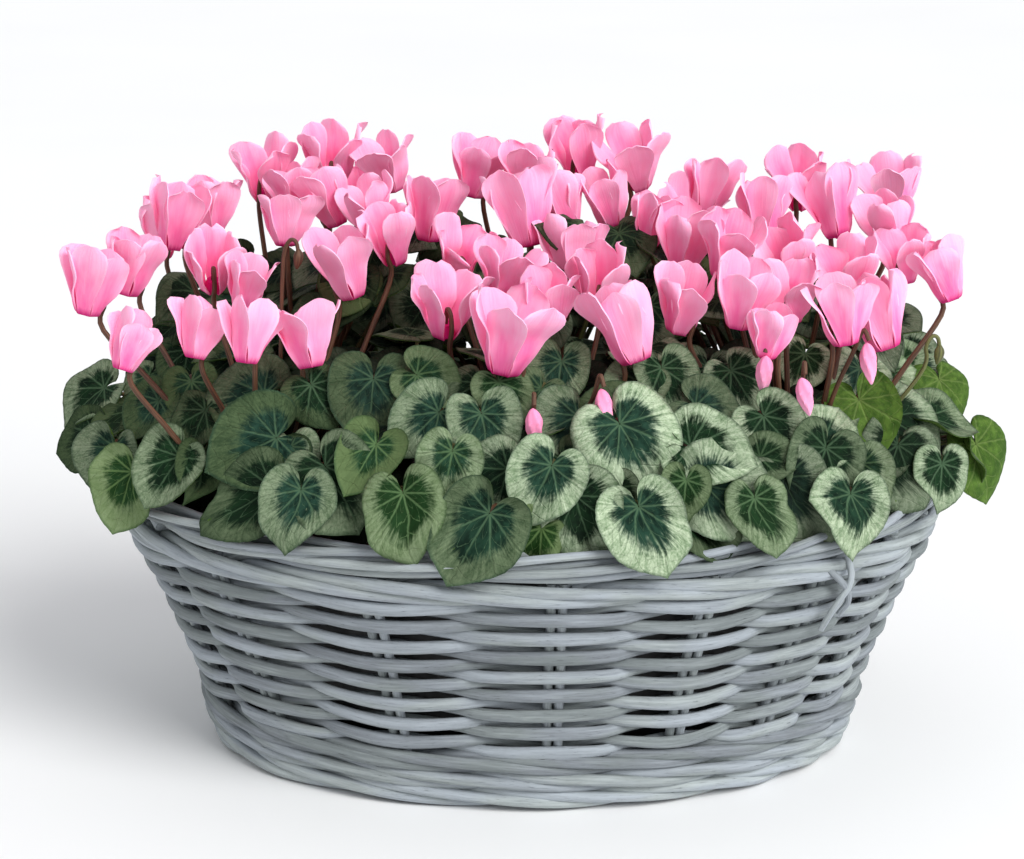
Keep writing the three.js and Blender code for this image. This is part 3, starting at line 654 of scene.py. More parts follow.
# %% [markdown]
# ## The woven base
#
# Seen only from below: oval rounds of weaver over and under the base sticks. It is woven as the
# rows of the wall are, only flat, and every rod stays between the underside and the liner.

# %% Base
BASE_STICKS = 20
BASE_ROUNDS = 19
BASE_EDGE = 0.93
BASE_MIDDLE_HEIGHT = 4.0
BASE_INSET = 11.5
BASE_WAVE = 1.5
BASE_STICK = {"wide": 2.1, "tall": 1.6, "steps": 12}
BASE_WEAVER = {"wide": 2.5, "tall": 1.9, "steps": 120}

base = Skin()
half_length = FLARE[0][1] - BASE_INSET
half_depth = FLARE[0][1] * DEPTH_RATIO - BASE_INSET
for stick in range(BASE_STICKS // 2):
    turn = math.pi * stick / (BASE_STICKS / 2)
    reach = np.linspace(-1, 1, BASE_STICK["steps"])
    path = np.stack([reach * half_length * math.cos(turn), reach * half_depth * math.sin(turn),
                     np.full(len(reach), BASE_MIDDLE_HEIGHT)], 1)
    rod(base, path, BASE_STICK["wide"], BASE_STICK["tall"], tone=finish_luck.draw())
for ring in range(1, BASE_ROUNDS + 1):
    part = ring / BASE_ROUNDS * BASE_EDGE
    turn = np.linspace(0, 2 * math.pi, BASE_WEAVER["steps"], endpoint=False)
    height = BASE_MIDDLE_HEIGHT + BASE_WAVE * np.cos(turn * BASE_STICKS / 2 + math.pi * (ring % 2))
    path = np.stack([part * half_length * np.cos(turn), part * half_depth * np.sin(turn), height], 1)
    tone = finish_luck.draw()
    rod(base, path, BASE_WEAVER["wide"], BASE_WEAVER["tall"], closed=True, tone=tone, sides=6)
base.piece("woven_base", willow, "willow", "basket_base")

# %% [markdown]
# ## Liner and compost
#
# Black planting film lines the basket. It keeps its CAD solid, whose shape is right, and gets a
# finish of crumpled film. The compost's top is made again as a rough surface with crumbs on it.

# %% Finishes of the liner and the compost
def liner_finish():
    finish = Finish("black_planting_film", Roughness=0.38)
    place = finish.node("ShaderNodeTexCoord", output="Object")
    crumple = finish.noise(place, 55.0, 3.0)
    fine = finish.noise(place, 260.0, 2.0)
    colour = finish.mix(crumple, paint(16, 16, 17), paint(40, 40, 42))
    rough = 0.3 + fine * 0.25
    return finish.finish(Base_Color=colour, Roughness=rough, Normal=finish.bump(crumple, 0.004, 0.6))


def compost_finish():
    finish = Finish("peat_compost")
    place = finish.node("ShaderNodeTexCoord", output="Object")
    crumb = finish.noise(place, 420.0, 5.0, 0.7)
    clod = finish.noise(place, 90.0, 3.0)
    fibre = finish.noise(place, 1400.0, 2.0)
    brown = finish.mix(crumb.step(0.35, 0.7), paint(24, 17, 12), paint(66, 48, 34))
    mixed = finish.mix(fibre.step(0.66, 0.74) * 0.6, brown, paint(134, 108, 78))
    rough = 0.8 + clod * 0.2
    bump = finish.bump(crumb + clod, 0.002, 0.9)
    return finish.finish(Base_Color=mixed, Roughness=rough, Normal=bump)


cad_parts["liner"].material_slots[0].material = liner_finish()
soil_finish = compost_finish()
print("liner and compost finished")

# %% Compost
WALL_TO_COMPOST = 15.7
# For each ring of the side: the height whose width it takes, how far it shrinks, and its own height
COMPOST_SIDE = [(30, 6.2, 10.0), (30, 0.2, 30.0), (70, 0.2, 70.0), (100, 0.2, 100.0), (108, 0.2, 107.0)]
COMPOST_RINGS = 34
COMPOST_SIDES = 96
COMPOST_DIP = 1.2
CRUMBS = {"number": 420, "size": (0.8, 2.6), "spread": 0.95, "lift": 0.2, "uneven": (0.8, 1.2), "sides": 6}
CRUMB_LEVELS = (-1, -0.45, 0.45, 1)
# Clods and the grains between them: how high, how close together, and where in the noise
BUMPS = [(2.6, 0.05, 3), (1.2, 0.3, 9)]


def bump_height(x, y):
    """The height of the compost's clods and grains at a place."""
    return sum(high * noise.noise((x * close, y * close, where)) for high, close, where in BUMPS)


def crumb(size):
    """A lump of a few uneven rings round its own middle."""
    rings = []
    for level in CRUMB_LEVELS:
        reach = size * math.sqrt(1.05 - level ** 2) * finish_luck.between(*CRUMBS["uneven"])
        turns = np.linspace(0, 2 * math.pi, CRUMBS["sides"], endpoint=False) + finish_luck.draw()
        height = np.full(CRUMBS["sides"], level * size * 0.8)
        rings.append(np.stack([np.cos(turns) * reach, np.sin(turns) * reach, height], 1))
    return np.concatenate(rings)


compost = Skin()
turns = np.linspace(0, 2 * math.pi, COMPOST_SIDES, endpoint=False)
body = []
for wall_height, shrink, height in COMPOST_SIDE:
    half = np.interp(wall_height, FLARE[:, 0], FLARE[:, 1])
    edge = -WALL_TO_COMPOST - shrink
    x = (half + edge) * np.cos(turns)
    y = (half * DEPTH_RATIO + edge) * np.sin(turns)
    body.append(np.stack([x, y, np.full(COMPOST_SIDES, height)], 1))
rim_ring = body[-1]
for ring in range(1, COMPOST_RINGS + 1):
    part = 1 - ring / (COMPOST_RINGS + 0.6)
    points = rim_ring * [part, part, 1]
    bumps = np.array([bump_height(x, y) for x, y, _ in points])
    points[:, 2] = COMPOST_TOP - COMPOST_DIP + bumps
    body.append(points)
compost.add(np.concatenate(body), tube_faces(len(body), COMPOST_SIDES, False))
for _ in range(CRUMBS["number"]):
    turn = finish_luck.draw() * 2 * math.pi
    out = math.sqrt(finish_luck.draw()) * CRUMBS["spread"]
    size = finish_luck.between(*CRUMBS["size"])
    x = rim_ring[:, 0].max() * out * math.cos(turn)
    y = rim_ring[:, 1].max() * out * math.sin(turn)
    middle = np.array([x, y, COMPOST_TOP + size * CRUMBS["lift"]])
    compost.add(crumb(size) + middle, tube_faces(len(CRUMB_LEVELS), CRUMBS["sides"], False))
compost.piece("compost_surface", soil_finish, "compost", "compost")

# %% [markdown]
# ## The plan of the plants
#
# A line of sight through each leaf and each bloom of the photograph says in which direction it lies,
# and the mound of leaves or the depth of the heads says how far. This is the same plan that the
# part's solids follow, so the fine pieces fall on the coarse ones.

# %% Lines of sight
def sight_line(across, down):
    return (Vector(((across - VIEW["across"]) / VIEW["focal"], 0, 0))
            + view_up * ((VIEW["down"] - down) / VIEW["focal"]) + view_forward)


def at_depth(across, down, depth):
    line = sight_line(across, down)
    return view_from + line * ((depth - view_from.y) / line.y)


def on_mound(across, down):
    """Where a line of sight meets the mound of leaves, or passes closest to it."""
    scale = Vector((1 / MOUND["length"], 1 / MOUND["depth"], 1 / MOUND["height"]))
    origin = (view_from - Vector((0, 0, MOUND["base"]))) * scale
    line = sight_line(across, down) * scale
    a, b, c = line.dot(line), line.dot(origin), origin.dot(origin) - 1
    root = math.sqrt(max(0, b * b - a * c))
    return view_from + sight_line(across, down) * ((-b - root) / a)


def nearest_crown(x, y):
    distances = [math.hypot(x - cx, y - cy) for cx, cy in CROWNS]
    return distances.index(min(distances))


print("the middle leaf lies at", [round(v) for v in on_mound(545, 486)])

# %% Flower heads of the photograph
# For each head: across, down and its size
SHOWN_HEADS = [
    [262, 168, 1.05], [330, 155, 1.0], [385, 160, 0.95], [478, 165, 0.95], [525, 165, 0.9], [577, 148, 1.05],
    [634, 156, 1.05], [712, 182, 0.95], [800, 178, 0.95], [834, 200, 1.1], [176, 214, 1.05], [92, 278, 1.1],
    [132, 262, 1.0], [325, 195, 0.95], [432, 205, 1.05], [520, 205, 1.25], [605, 195, 0.95], [690, 236, 1.1],
    [733, 244, 1.05], [890, 220, 0.95], [212, 262, 1.0], [285, 215, 0.9], [342, 262, 1.1], [390, 232, 1.0],
    [508, 270, 0.95], [572, 245, 1.0], [600, 280, 1.0], [790, 255, 1.05], [848, 270, 1.0], [905, 252, 0.9],
    [944, 270, 0.9], [130, 342, 0.85], [200, 328, 0.9], [250, 330, 0.95], [304, 330, 1.1], [448, 302, 1.1],
    [512, 330, 1.3], [550, 300, 0.9], [625, 322, 1.2], [687, 300, 1.0], [745, 292, 1.05], [772, 330, 0.8],
    [842, 308, 1.05], [878, 312, 1.1], [212, 203, 0.95], [288, 186, 0.85], [365, 205, 0.95], [462, 252, 0.9],
    [560, 198, 0.95], [655, 215, 0.9], [765, 205, 0.95], [790, 292, 0.95], [248, 282, 0.85],
]
HEAD_SCALE = 0.87
HEAD_DEPTH = {
    "top_pixel": 140, "top_depth": 74, "bottom_pixel": 345, "bottom_depth": -72, "chance": 4,
    "apart": 25, "rounds": 45, "move": 0.25,
}
HEAD_LEAN = {"swing": 0.9, "least": 8, "more": 16}
HIDDEN_HEADS = {
    "number": 5, "depth": 104, "oval": 230, "height": 226, "start": -168, "end": 160,
    "swing": 6, "chance": 12, "uneven": 0.12,
}
# For each bud: across, down and its depth
BUDS = [[535, 424, -96], [605, 405, -88], [766, 370, -66], [806, 392, -80], [870, 358, -62]]
FLARE_OUT = {"least": 0.95, "more": 0.6, "uneven": 0.18}
PETAL_SPACING = 62
PETAL_CHANCE = {"long": 0.12, "wide": 0.08, "twist": 0.35}
PETAL_TIP_HEIGHT = 31
print(len(SHOWN_HEADS), "heads are listed and", HIDDEN_HEADS["number"], "stand behind them")

# %% Making the flower heads
def make_head(middle, size):
    """A flower head with a frame at its nose: +Z up through the petals, +X away from the stalk."""
    plant = nearest_crown(middle.x, middle.y)
    cx, cy = CROWNS[plant]
    outward = math.atan2(middle.y - cy, middle.x - cx) + layout.jitter(HEAD_LEAN["swing"])
    lean = math.radians(HEAD_LEAN["least"] + layout.draw() * HEAD_LEAN["more"])
    flare = FLARE_OUT["least"] + layout.draw() * FLARE_OUT["more"]
    place = Matrix.Rotation(outward, 4, "Z") @ Matrix.Rotation(-lean, 4, "Y")
    nose = middle - place.to_3x3() @ Vector((0, 0, 1)) * (size * PETAL_TIP_HEIGHT / 2)
    petals = []
    for k in range(-2, 3):
        long = 1 + layout.jitter(PETAL_CHANCE["long"])
        wide = 1 + layout.jitter(PETAL_CHANCE["wide"])
        spread = flare + layout.jitter(FLARE_OUT["uneven"])
        twist = layout.jitter(PETAL_CHANCE["twist"])
        petals.append({"turn": math.radians(k * PETAL_SPACING), "long": long, "wide": wide,
                       "spread": spread, "twist": twist})
    place = Matrix.Translation(nose) @ place @ Matrix.Scale(size, 4)
    return {"plant": plant, "frame": place, "petals": petals, "size": size}


def shown_heads():
    top, bottom = HEAD_DEPTH["top_pixel"], HEAD_DEPTH["bottom_pixel"]
    depths = []
    for _, down, _ in SHOWN_HEADS:
        part = (down - top) / (bottom - top)
        depth = HEAD_DEPTH["top_depth"] + (HEAD_DEPTH["bottom_depth"] - HEAD_DEPTH["top_depth"]) * part
        depths.append(depth + layout.jitter(HEAD_DEPTH["chance"]))
    for _ in range(HEAD_DEPTH["rounds"]):
        for i, first in enumerate(SHOWN_HEADS):
            for j, second in enumerate(SHOWN_HEADS[:i]):
                a = at_depth(first[0], first[1], depths[i])
                b = at_depth(second[0], second[1], depths[j])
                room = HEAD_DEPTH["apart"] * (first[2] + second[2]) / 2
                push = (room - (a - b).length) * HEAD_DEPTH["move"]
                if push > 0:
                    side = 1 if depths[i] > depths[j] else -1
                    depths[i] += side * push
                    depths[j] -= side * push
    listed = zip(SHOWN_HEADS, depths)
    return [make_head(at_depth(x, y, depth), size * HEAD_SCALE) for (x, y, size), depth in listed]


def hidden_heads():
    heads = []
    span = HIDDEN_HEADS["end"] - HIDDEN_HEADS["start"]
    for i in range(HIDDEN_HEADS["number"]):
        x = HIDDEN_HEADS["start"] + span * i / (HIDDEN_HEADS["number"] - 1)
        x += layout.jitter(HIDDEN_HEADS["swing"])
        y = HIDDEN_HEADS["depth"] * math.sqrt(1 - (x / HIDDEN_HEADS["oval"]) ** 2)
        y += layout.jitter(HIDDEN_HEADS["chance"])
        height = HIDDEN_HEADS["height"] + layout.jitter(HIDDEN_HEADS["chance"])
        size = (1 + layout.jitter(HIDDEN_HEADS["uneven"])) * HEAD_SCALE
        heads.append(make_head(Vector((x, y, height)), size))
    return heads


heads = shown_heads() + hidden_heads()
buds = []
for across, down, depth in BUDS:
    middle = at_depth(across, down, depth)
    buds.append({"middle": middle, "plant": nearest_crown(middle.x, middle.y)})
first_nose = [round(v) for v in heads[0]["frame"].translation]
print(len(heads), "heads and", len(buds), "buds; first nose at", first_nose)

# %% Leaves of the photograph
# For each leaf: across, down, its width in millimetres and the angle in which its tip points
FRONT_LEAVES = [
    [252, 450, 38, 205], [366, 462, 28, 243], [424, 427, 30, 225], [543, 486, 31, 245], [636, 450, 42, 300],
    [829, 430, 26, 60], [850, 516, 32, 268], [984, 463, 32, 300], [148, 415, 25, 235], [126, 494, 32, 250],
    [410, 516, 32, 285], [648, 530, 34, 290], [714, 452, 32, 345], [433, 383, 26, 330], [320, 400, 25, 300],
    [778, 430, 28, 310], [868, 418, 30, 290], [88, 400, 29, 215], [240, 400, 36, 190], [336, 488, 36, 300],
    [251, 503, 34, 220], [486, 434, 30, 280], [478, 536, 36, 240], [532, 541, 22, 230], [582, 520, 33, 285],
    [736, 490, 38, 350], [824, 468, 32, 250], [910, 424, 34, 330], [942, 480, 25, 272], [946, 396, 28, 280],
    [74, 442, 28, 190], [104, 468, 30, 250], [184, 366, 28, 265], [372, 398, 36, 265], [568, 430, 32, 250],
    [742, 385, 26, 300], [858, 382, 27, 250], [924, 374, 28, 270], [718, 412, 30, 330], [668, 384, 27, 280],
    [168, 475, 30, 235], [300, 512, 30, 265], [492, 480, 30, 215], [798, 500, 34, 290], [900, 464, 34, 250],
]
TURNED_OVER = {7, 16, 29}
YOUNG = {1: 0.4, 9: 0.55, 10: 0.3, 23: 0.6, 13: 0.25}
# How far the silver of some listed leaves takes its lit colour: partly the leaf's own silver, partly painted
# light
LIT_AND_BRIGHT_SILVER = {
    3: 0.8, 4: 1.0, 5: 0.8, 6: 0.9, 10: 0.3, 11: 1.0, 12: 0.9, 15: 0.8, 18: 0.15, 20: 0.1, 24: 0.8, 25: 0.9,
}
PLAIN_YOUNG = 0.03
# Smaller leaves, part hidden by the others, that the photograph also shows
SMALL_LEAVES = [
    [194, 420, 24, 255], [141, 386, 20, 240], [133, 436, 26, 250], [172, 446, 24, 262], [200, 470, 22, 265],
    [226, 366, 24, 260], [394, 394, 24, 240], [508, 396, 24, 300],
    [474, 392, 24, 250], [560, 378, 26, 265], [534, 398, 22, 240], [704, 520, 28, 300], [686, 494, 20, 265],
    [706, 376, 26, 260], [634, 388, 26, 240], [622, 500, 20, 290], [576, 468, 26, 300], [890, 372, 26, 20],
    [872, 476, 24, 290], [898, 350, 20, 100], [802, 366, 22, 250], [450, 470, 26, 260], [610, 410, 26, 200],
    [880, 445, 26, 240], [290, 460, 24, 280], [776, 457, 20, 350], [193, 398, 24, 280], [758, 516, 26, 280],
    [612, 545, 24, 265], [516, 560, 20, 250],
]
print(len(FRONT_LEAVES), "large leaves and", len(SMALL_LEAVES), "smaller ones are listed")

# %% How a leaf lies
FACING = {"mound": 0.5, "viewer": 0.75, "lean": 0.18}
TILE_ANGLE = 17
FOLD = {"usual": 0.1, "chance": 0.06}
DROOP = {"usual": 0.2, "chance": 0.08}


def mound_normal(point):
    return Vector((point.x / MOUND["length"] ** 2, point.y / MOUND["depth"] ** 2,
                   (point.z - MOUND["base"]) / MOUND["height"] ** 2)).normalized()


def tile_normal(point):
    """Like a roof tile, with the downhill edge raised."""
    facing = mound_normal(point)
    uphill = (Vector((0, 0, 1)) - facing * facing.z).normalized()
    tile = math.radians(TILE_ANGLE)
    return facing * math.cos(tile) + uphill * math.sin(tile)


def viewer_normal(point):
    """Turned partly towards the viewer, as the leaves at the front are."""
    return mound_normal(point) * FACING["mound"] - view_forward * FACING["viewer"]


def random_lean(luck, amount):
    return Vector((luck.jitter(amount), luck.jitter(amount), luck.jitter(amount)))


def make_leaf(luck, surface, facing, direction, width):
    fold = FOLD["usual"] + luck.jitter(FOLD["chance"])
    droop = DROOP["usual"] + luck.jitter(DROOP["chance"])
    return {"surface": surface, "normal": facing.normalized(), "direction": direction, "width": width,
            "fold": fold, "droop": droop, "plant": nearest_crown(surface.x, surface.y),
            "turned": False, "young": 0.0, "filling": False, "shade": 0.0, "bright": None}


def leaf_frame(origin, normal, direction):
    x = (direction - normal * direction.dot(normal)).normalized()
    y = normal.cross(x)
    place = Matrix((x, y, normal)).transposed().to_4x4()
    place.translation = origin
    return place


crest = Vector((0, 0, MOUND["base"] + MOUND["height"]))
print("near the top of the mound a leaf faces", [round(v, 2) for v in tile_normal(crest + view_forward)])

# %% Laying the leaves
# Height in degrees, number and width of the leaves of each ring round the mound
LEAF_RINGS = [[3, 22, 33], [24, 18, 33], [46, 12, 31], [70, 5, 29]]
LISTED_SECTOR = {"start": 192, "end": 348, "below": 40}
RING_CHANCE = {"around": 4, "up": 4, "width": 5, "lean": 0.12, "swing": 0.7}
RING_DOWNHILL = -0.8
STEM_BEHIND_MIDDLE = 0.3
LAYER_STEP = 5
LAYER_REACH = 0.8
# Painted shade: each layer under the outermost is painted darker by this much, down to the fourth
LAYER_SHADE = 0.2
DARKEST_LAYER = 4


def lay_leaves(leaves, laid=()):
    """Each leaf takes the outermost layer where it crosses none that is already there."""
    laid = list(laid)
    for leaf in leaves:
        taken = set()
        for other in laid:
            reach = LAYER_REACH * (other["width"] + leaf["width"]) / 2
            if (other["surface"] - leaf["surface"]).length < reach:
                taken.add(other["layer"])
        layer = 0
        while layer in taken:
            layer += 1
        leaf["layer"] = layer
        middle = leaf["surface"] - leaf["normal"] * LAYER_STEP * layer
        place = leaf_frame(middle, leaf["normal"], leaf["direction"])
        place.translation = place @ Vector((-STEM_BEHIND_MIDDLE * leaf["width"], 0, 0))
        leaf["frame"] = place
        leaf["shade"] = LAYER_SHADE * min(layer, DARKEST_LAYER)
        laid.append(leaf)
    return leaves


def listed_leaves(luck, listed):
    leaves = []
    for across, down, width, tip in listed:
        turn = math.radians(tip)
        direction = Vector((math.cos(turn), 0, 0)) + view_up * math.sin(turn)
        surface = on_mound(across, down)
        facing = viewer_normal(surface) + random_lean(luck, FACING["lean"])
        leaves.append(make_leaf(luck, surface, facing, direction, width))
    return leaves


def ring_leaves():
    leaves = []
    for ring, (height, number, width) in enumerate(LEAF_RINGS):
        for i in range(number):
            around = (i + (ring % 2) / 2) / number * 360 + layout.jitter(RING_CHANCE["around"])
            up = math.radians(height + layout.jitter(RING_CHANCE["up"]))
            size = width + layout.jitter(RING_CHANCE["width"])
            lean = random_lean(layout, RING_CHANCE["lean"])
            swing = layout.jitter(RING_CHANCE["swing"])
            inside = LISTED_SECTOR["start"] < around < LISTED_SECTOR["end"]
            if inside and height < LISTED_SECTOR["below"]:
                continue
            turn = math.radians(around)
            middle = Vector((
                MOUND["length"] * math.cos(turn) * math.cos(up),
                MOUND["depth"] * math.sin(turn) * math.cos(up),
                MOUND["base"] + MOUND["height"] * math.sin(up),
            ))
            direction = Vector((math.cos(turn + swing), math.sin(turn + swing), RING_DOWNHILL))
            leaves.append(make_leaf(layout, middle, tile_normal(middle) + lean, direction, size))
    return leaves


print("each layer of leaves lies", LAYER_STEP, "mm under the one outside it")

# %% The leaves of the plan
leaves = lay_leaves(listed_leaves(layout, FRONT_LEAVES) + ring_leaves())
for place in TURNED_OVER:
    leaves[place]["turned"] = True
for place in range(len(FRONT_LEAVES)):
    leaves[place]["young"] = YOUNG.get(place, PLAIN_YOUNG)
    leaves[place]["bright"] = LIT_AND_BRIGHT_SILVER.get(place)
leaves += lay_leaves(listed_leaves(Chance(606), SMALL_LEAVES), leaves)
print(len(leaves), "leaves")

# %% [markdown]
# ## Marbled leaves
#
# A cyclamen leaf is a heart with a finely toothed edge. Its veins fan out from the stem, the middle
# is dark green between pale veins, and a broad feathery band of silver runs inside the edge. The
# mesh is a fan of rings round the stem, so the finish can use the same two numbers that the plant
# does: the direction from the stem and the part of the way to the edge.

# %% Finish of the leaves
VEIN_SPACING = math.radians(37)


def leaf_finish():
    finish = Finish("marbled_leaf", IOR=1.42, Specular_IOR_Level=0.12)
    turn, part, reach = finish.parts(finish.note("fan", "Vector"))
    tone = finish.note("tone")
    young = finish.note("young")
    under = finish.note("under")
    shift = tone * 60
    feather = finish.noise(finish.vector(turn * 15 + shift, part * 1.8, tone * 9), 1.0, 4.0, 0.65)
    mottle = finish.noise(finish.vector(turn * 2.6 + shift, part * 4.5, tone * 5), 1.0, 4.0, 0.6)
    speckle = finish.noise(finish.vector(turn * 30 + shift, part * 20, tone * 3), 1.0, 3.0, 0.7)
    fan = turn / VEIN_SPACING + 0.5 + (mottle - 0.5) * 0.22
    between = finish.node("ShaderNodeMath", {"operation": "PINGPONG"}, {0: fan, 1: 0.5})
    vein_gap = (0.5 - between) * reach * VEIN_SPACING
    vein = vein_gap.step(0.7, 0.1) * (1 - part * 0.35)
    branch_at = part * 4.6 + between * 2.4 + mottle * 0.9
    branch = finish.node("ShaderNodeMath", {"operation": "PINGPONG"}, {0: branch_at, 1: 0.5})
    branch_vein = branch.step(0.075, 0.0) * part.step(0.08, 0.25) * 0.8
    veins = vein.maths("MAXIMUM", branch_vein)
    band = part + (feather - 0.5) * 0.42 + (mottle - 0.5) * 0.42 + (tone - 0.5) * 0.16 + vein * 0.06
    silver = band.step(0.52, 0.76) * (0.9 + feather * 0.15)
    silver = silver.maths("MINIMUM", 1.0) * (1 - part.step(0.93, 1.0) * 0.6)
    inner = mottle.step(0.32, 0.66)
    green = finish.mix(inner, paint(6, 24, 13), paint(20, 48, 26))
    teal = finish.mix(inner, paint(10, 32, 26), paint(36, 66, 54))
    centre = finish.mix(tone.step(0.45, 0.8), green, teal)
    veined = finish.mix(veins * 0.5, centre, paint(92, 122, 92))
    fleck = (feather * 0.4 + speckle * 0.35 + mottle * 0.3).step(0.36, 0.72)
    # Painted light: a shaded and a lit copy of the silver, blended leaf by leaf; partly the leaves' own
    # difference in silver
    shaded_and_dull_silver = finish.mix(fleck, paint(42, 60, 38), paint(80, 98, 66))
    bright = finish.mix(fleck, paint(102, 128, 92), paint(202, 216, 186))
    pale = finish.mix(finish.note("bright"), shaded_and_dull_silver, bright)
    marbled = finish.mix(silver, veined, pale)
    fresh_centre = finish.mix(veins * 0.7, paint(36, 70, 20), paint(128, 160, 88))
    fresh = finish.mix(silver * 0.85, fresh_centre, paint(124, 146, 92))
    upper = finish.mix(young, marbled, fresh)
    back = finish.mix(mottle.step(0.3, 0.8), paint(52, 80, 28), paint(92, 122, 50))
    back = finish.mix(veins * 0.4, back, paint(126, 146, 84))
    colour = finish.mix(under, upper, back)
    # Painted shade: the shade note mixes near-black into the leaf's colour
    colour = finish.mix(finish.note("shade"), colour, paint(4, 8, 5))
    height = between * 0.9 - vein * 0.5 + speckle * 0.25 - branch_vein * 0.35
    return finish.finish(
        Base_Color=colour,
        Roughness=0.56 + speckle * 0.2,
        Normal=finish.bump(height, 0.0012, 0.7),
    )


leaf_green = leaf_finish()
print("made", leaf_green.name)

# %% [markdown]
# ## Blades
#
# The edge is drawn from a short list: how far it is from the stem in each direction, for a leaf of
# width 1. Each blade keeps the bend of its solid and adds what makes it alive: a wavy edge, teeth,
# and slight quilting between the veins. It is a closed skin with a top and an underside.
#
# Two things are done to the blades as a whole. Those at the rim would pass through the border, so
# their points are moved out until they hang over it. And light alone leaves the gaps between leaves
# too pale, so each point carries a painted shade that grows with the leaves outside it, which the
# finish mixes into the colour as near-black.

# %% Draping, and shade painted by cover
DRAPE = {"clear": 11.5, "band": 28, "height": 139, "ease": 9}
# How the painted shade of a leaf point grows with the leaves that cover it
PAINTED_COVER_SHADE = {
    "heart": 104, "spread": 0.5, "least": 3, "full": 16, "reach": 64, "outline": 0.55, "soft": 0.2,
    "each": 0.45, "most": 0.86,
}


def draped(points):
    """Points that would pass through the border, moved out to hang over it."""
    reach = np.hypot(points[..., 0], points[..., 1] / DEPTH_RATIO)
    wall = np.interp(points[..., 2], FLARE[:, 0], FLARE[:, 1]) + DRAPE["clear"]
    near = np.clip((reach - wall + DRAPE["band"]) / (DRAPE["band"] / 2), 0, 1)
    low = np.clip((DRAPE["height"] - points[..., 2]) / DRAPE["ease"], 0, 1)
    factor = 1 + np.maximum(0, wall / reach - 1) * near * low
    return points * np.stack([factor, factor, np.ones_like(factor)], -1)


def painted_cover_shade(points, leaf):
    """Painted shade at each point, by how far it lies behind the other leaves: 0 on the outside, more for
    each cover.
    """
    flat = points.reshape(-1, 3)
    level = flat[:, :2] * (1 - PAINTED_COVER_SHADE["spread"])
    out = np.stack([level[:, 0], level[:, 1], flat[:, 2] - PAINTED_COVER_SHADE["heart"]], -1)
    out /= np.linalg.norm(out, axis=1)[:, None] + 0.001
    others = np.array([[*other["surface"], other["width"]] for other in leaves if other is not leaf])
    wide = others[None, :, 3]
    away = others[None, :, :3] - flat[:, None]
    ahead = (away * out[:, None]).sum(-1)
    beside = np.sqrt(np.maximum(0, (away ** 2).sum(-1) - ahead ** 2))
    cover = np.clip((ahead - PAINTED_COVER_SHADE["least"]) / (PAINTED_COVER_SHADE["full"] - PAINTED_COVER_SHADE["least"]), 0, 1)
    cover *= ahead < PAINTED_COVER_SHADE["reach"]
    cover *= np.clip((wide * PAINTED_COVER_SHADE["outline"] - beside) / (wide * PAINTED_COVER_SHADE["soft"]), 0, 1)
    return np.minimum(cover.sum(-1) * PAINTED_COVER_SHADE["each"], PAINTED_COVER_SHADE["most"]).reshape(points.shape[:-1])


print("a point at the rim drapes to", np.round(draped(np.array([[180.0, 0.0, 125.0]])), 1).tolist())

# %% Leaf blades
LEAF_EDGE = np.array([
    [0, 0.88], [7, 0.82], [16, 0.762], [30, 0.70], [50, 0.63], [72, 0.56], [95, 0.52],
    [118, 0.49], [140, 0.43], [156, 0.34], [168, 0.2],
])
LEAF_OUTLINE = smooth(LEAF_EDGE, 200)
TEETH = 46
LEAF_RING_PARTS = [0.012, 0.2, 0.38, 0.56, 0.74, 0.89, 1.0]
LEAF_HALF_THICKNESS = 0.3
LEAF_DIRECTIONS = 73
FILLING_RING_PARTS = [0.012, 0.3, 0.6, 0.82, 1.0]
FILLING_DIRECTIONS = 41
EXTRA_FOLD = 0.22
LOPSIDED = {"once": 0.06, "thrice": 0.035}
TOOTH = 0.016
EDGE_WAVE = {"high": (0.01, 0.055), "waves": (3.5, 6)}
CURL = (-0.1, 0.08)
QUILT = 0.022
UNDERSIDE_SHADE = 0.5
DARKEST_PAINTED_SHADE = 0.92
# Painted light: the silver is painted lighter on leaves towards the window side, at the right
SILVER_LIGHT = {"chance": 0.7, "window": 0.5, "less": 0.2, "from": -160, "across": 330}


def silver_light(leaf, luck):
    """How lit a leaf's silver is painted, listed or by chance, lighter towards the window side; partly its
    own silver.
    """
    towards = np.clip((leaf["surface"].x - SILVER_LIGHT["from"]) / SILVER_LIGHT["across"], 0, 1)
    chance = SILVER_LIGHT["chance"] * luck.draw() + SILVER_LIGHT["window"] * towards - SILVER_LIGHT["less"]
    return float(np.clip(chance, 0, 1)) if leaf["bright"] is None else leaf["bright"]


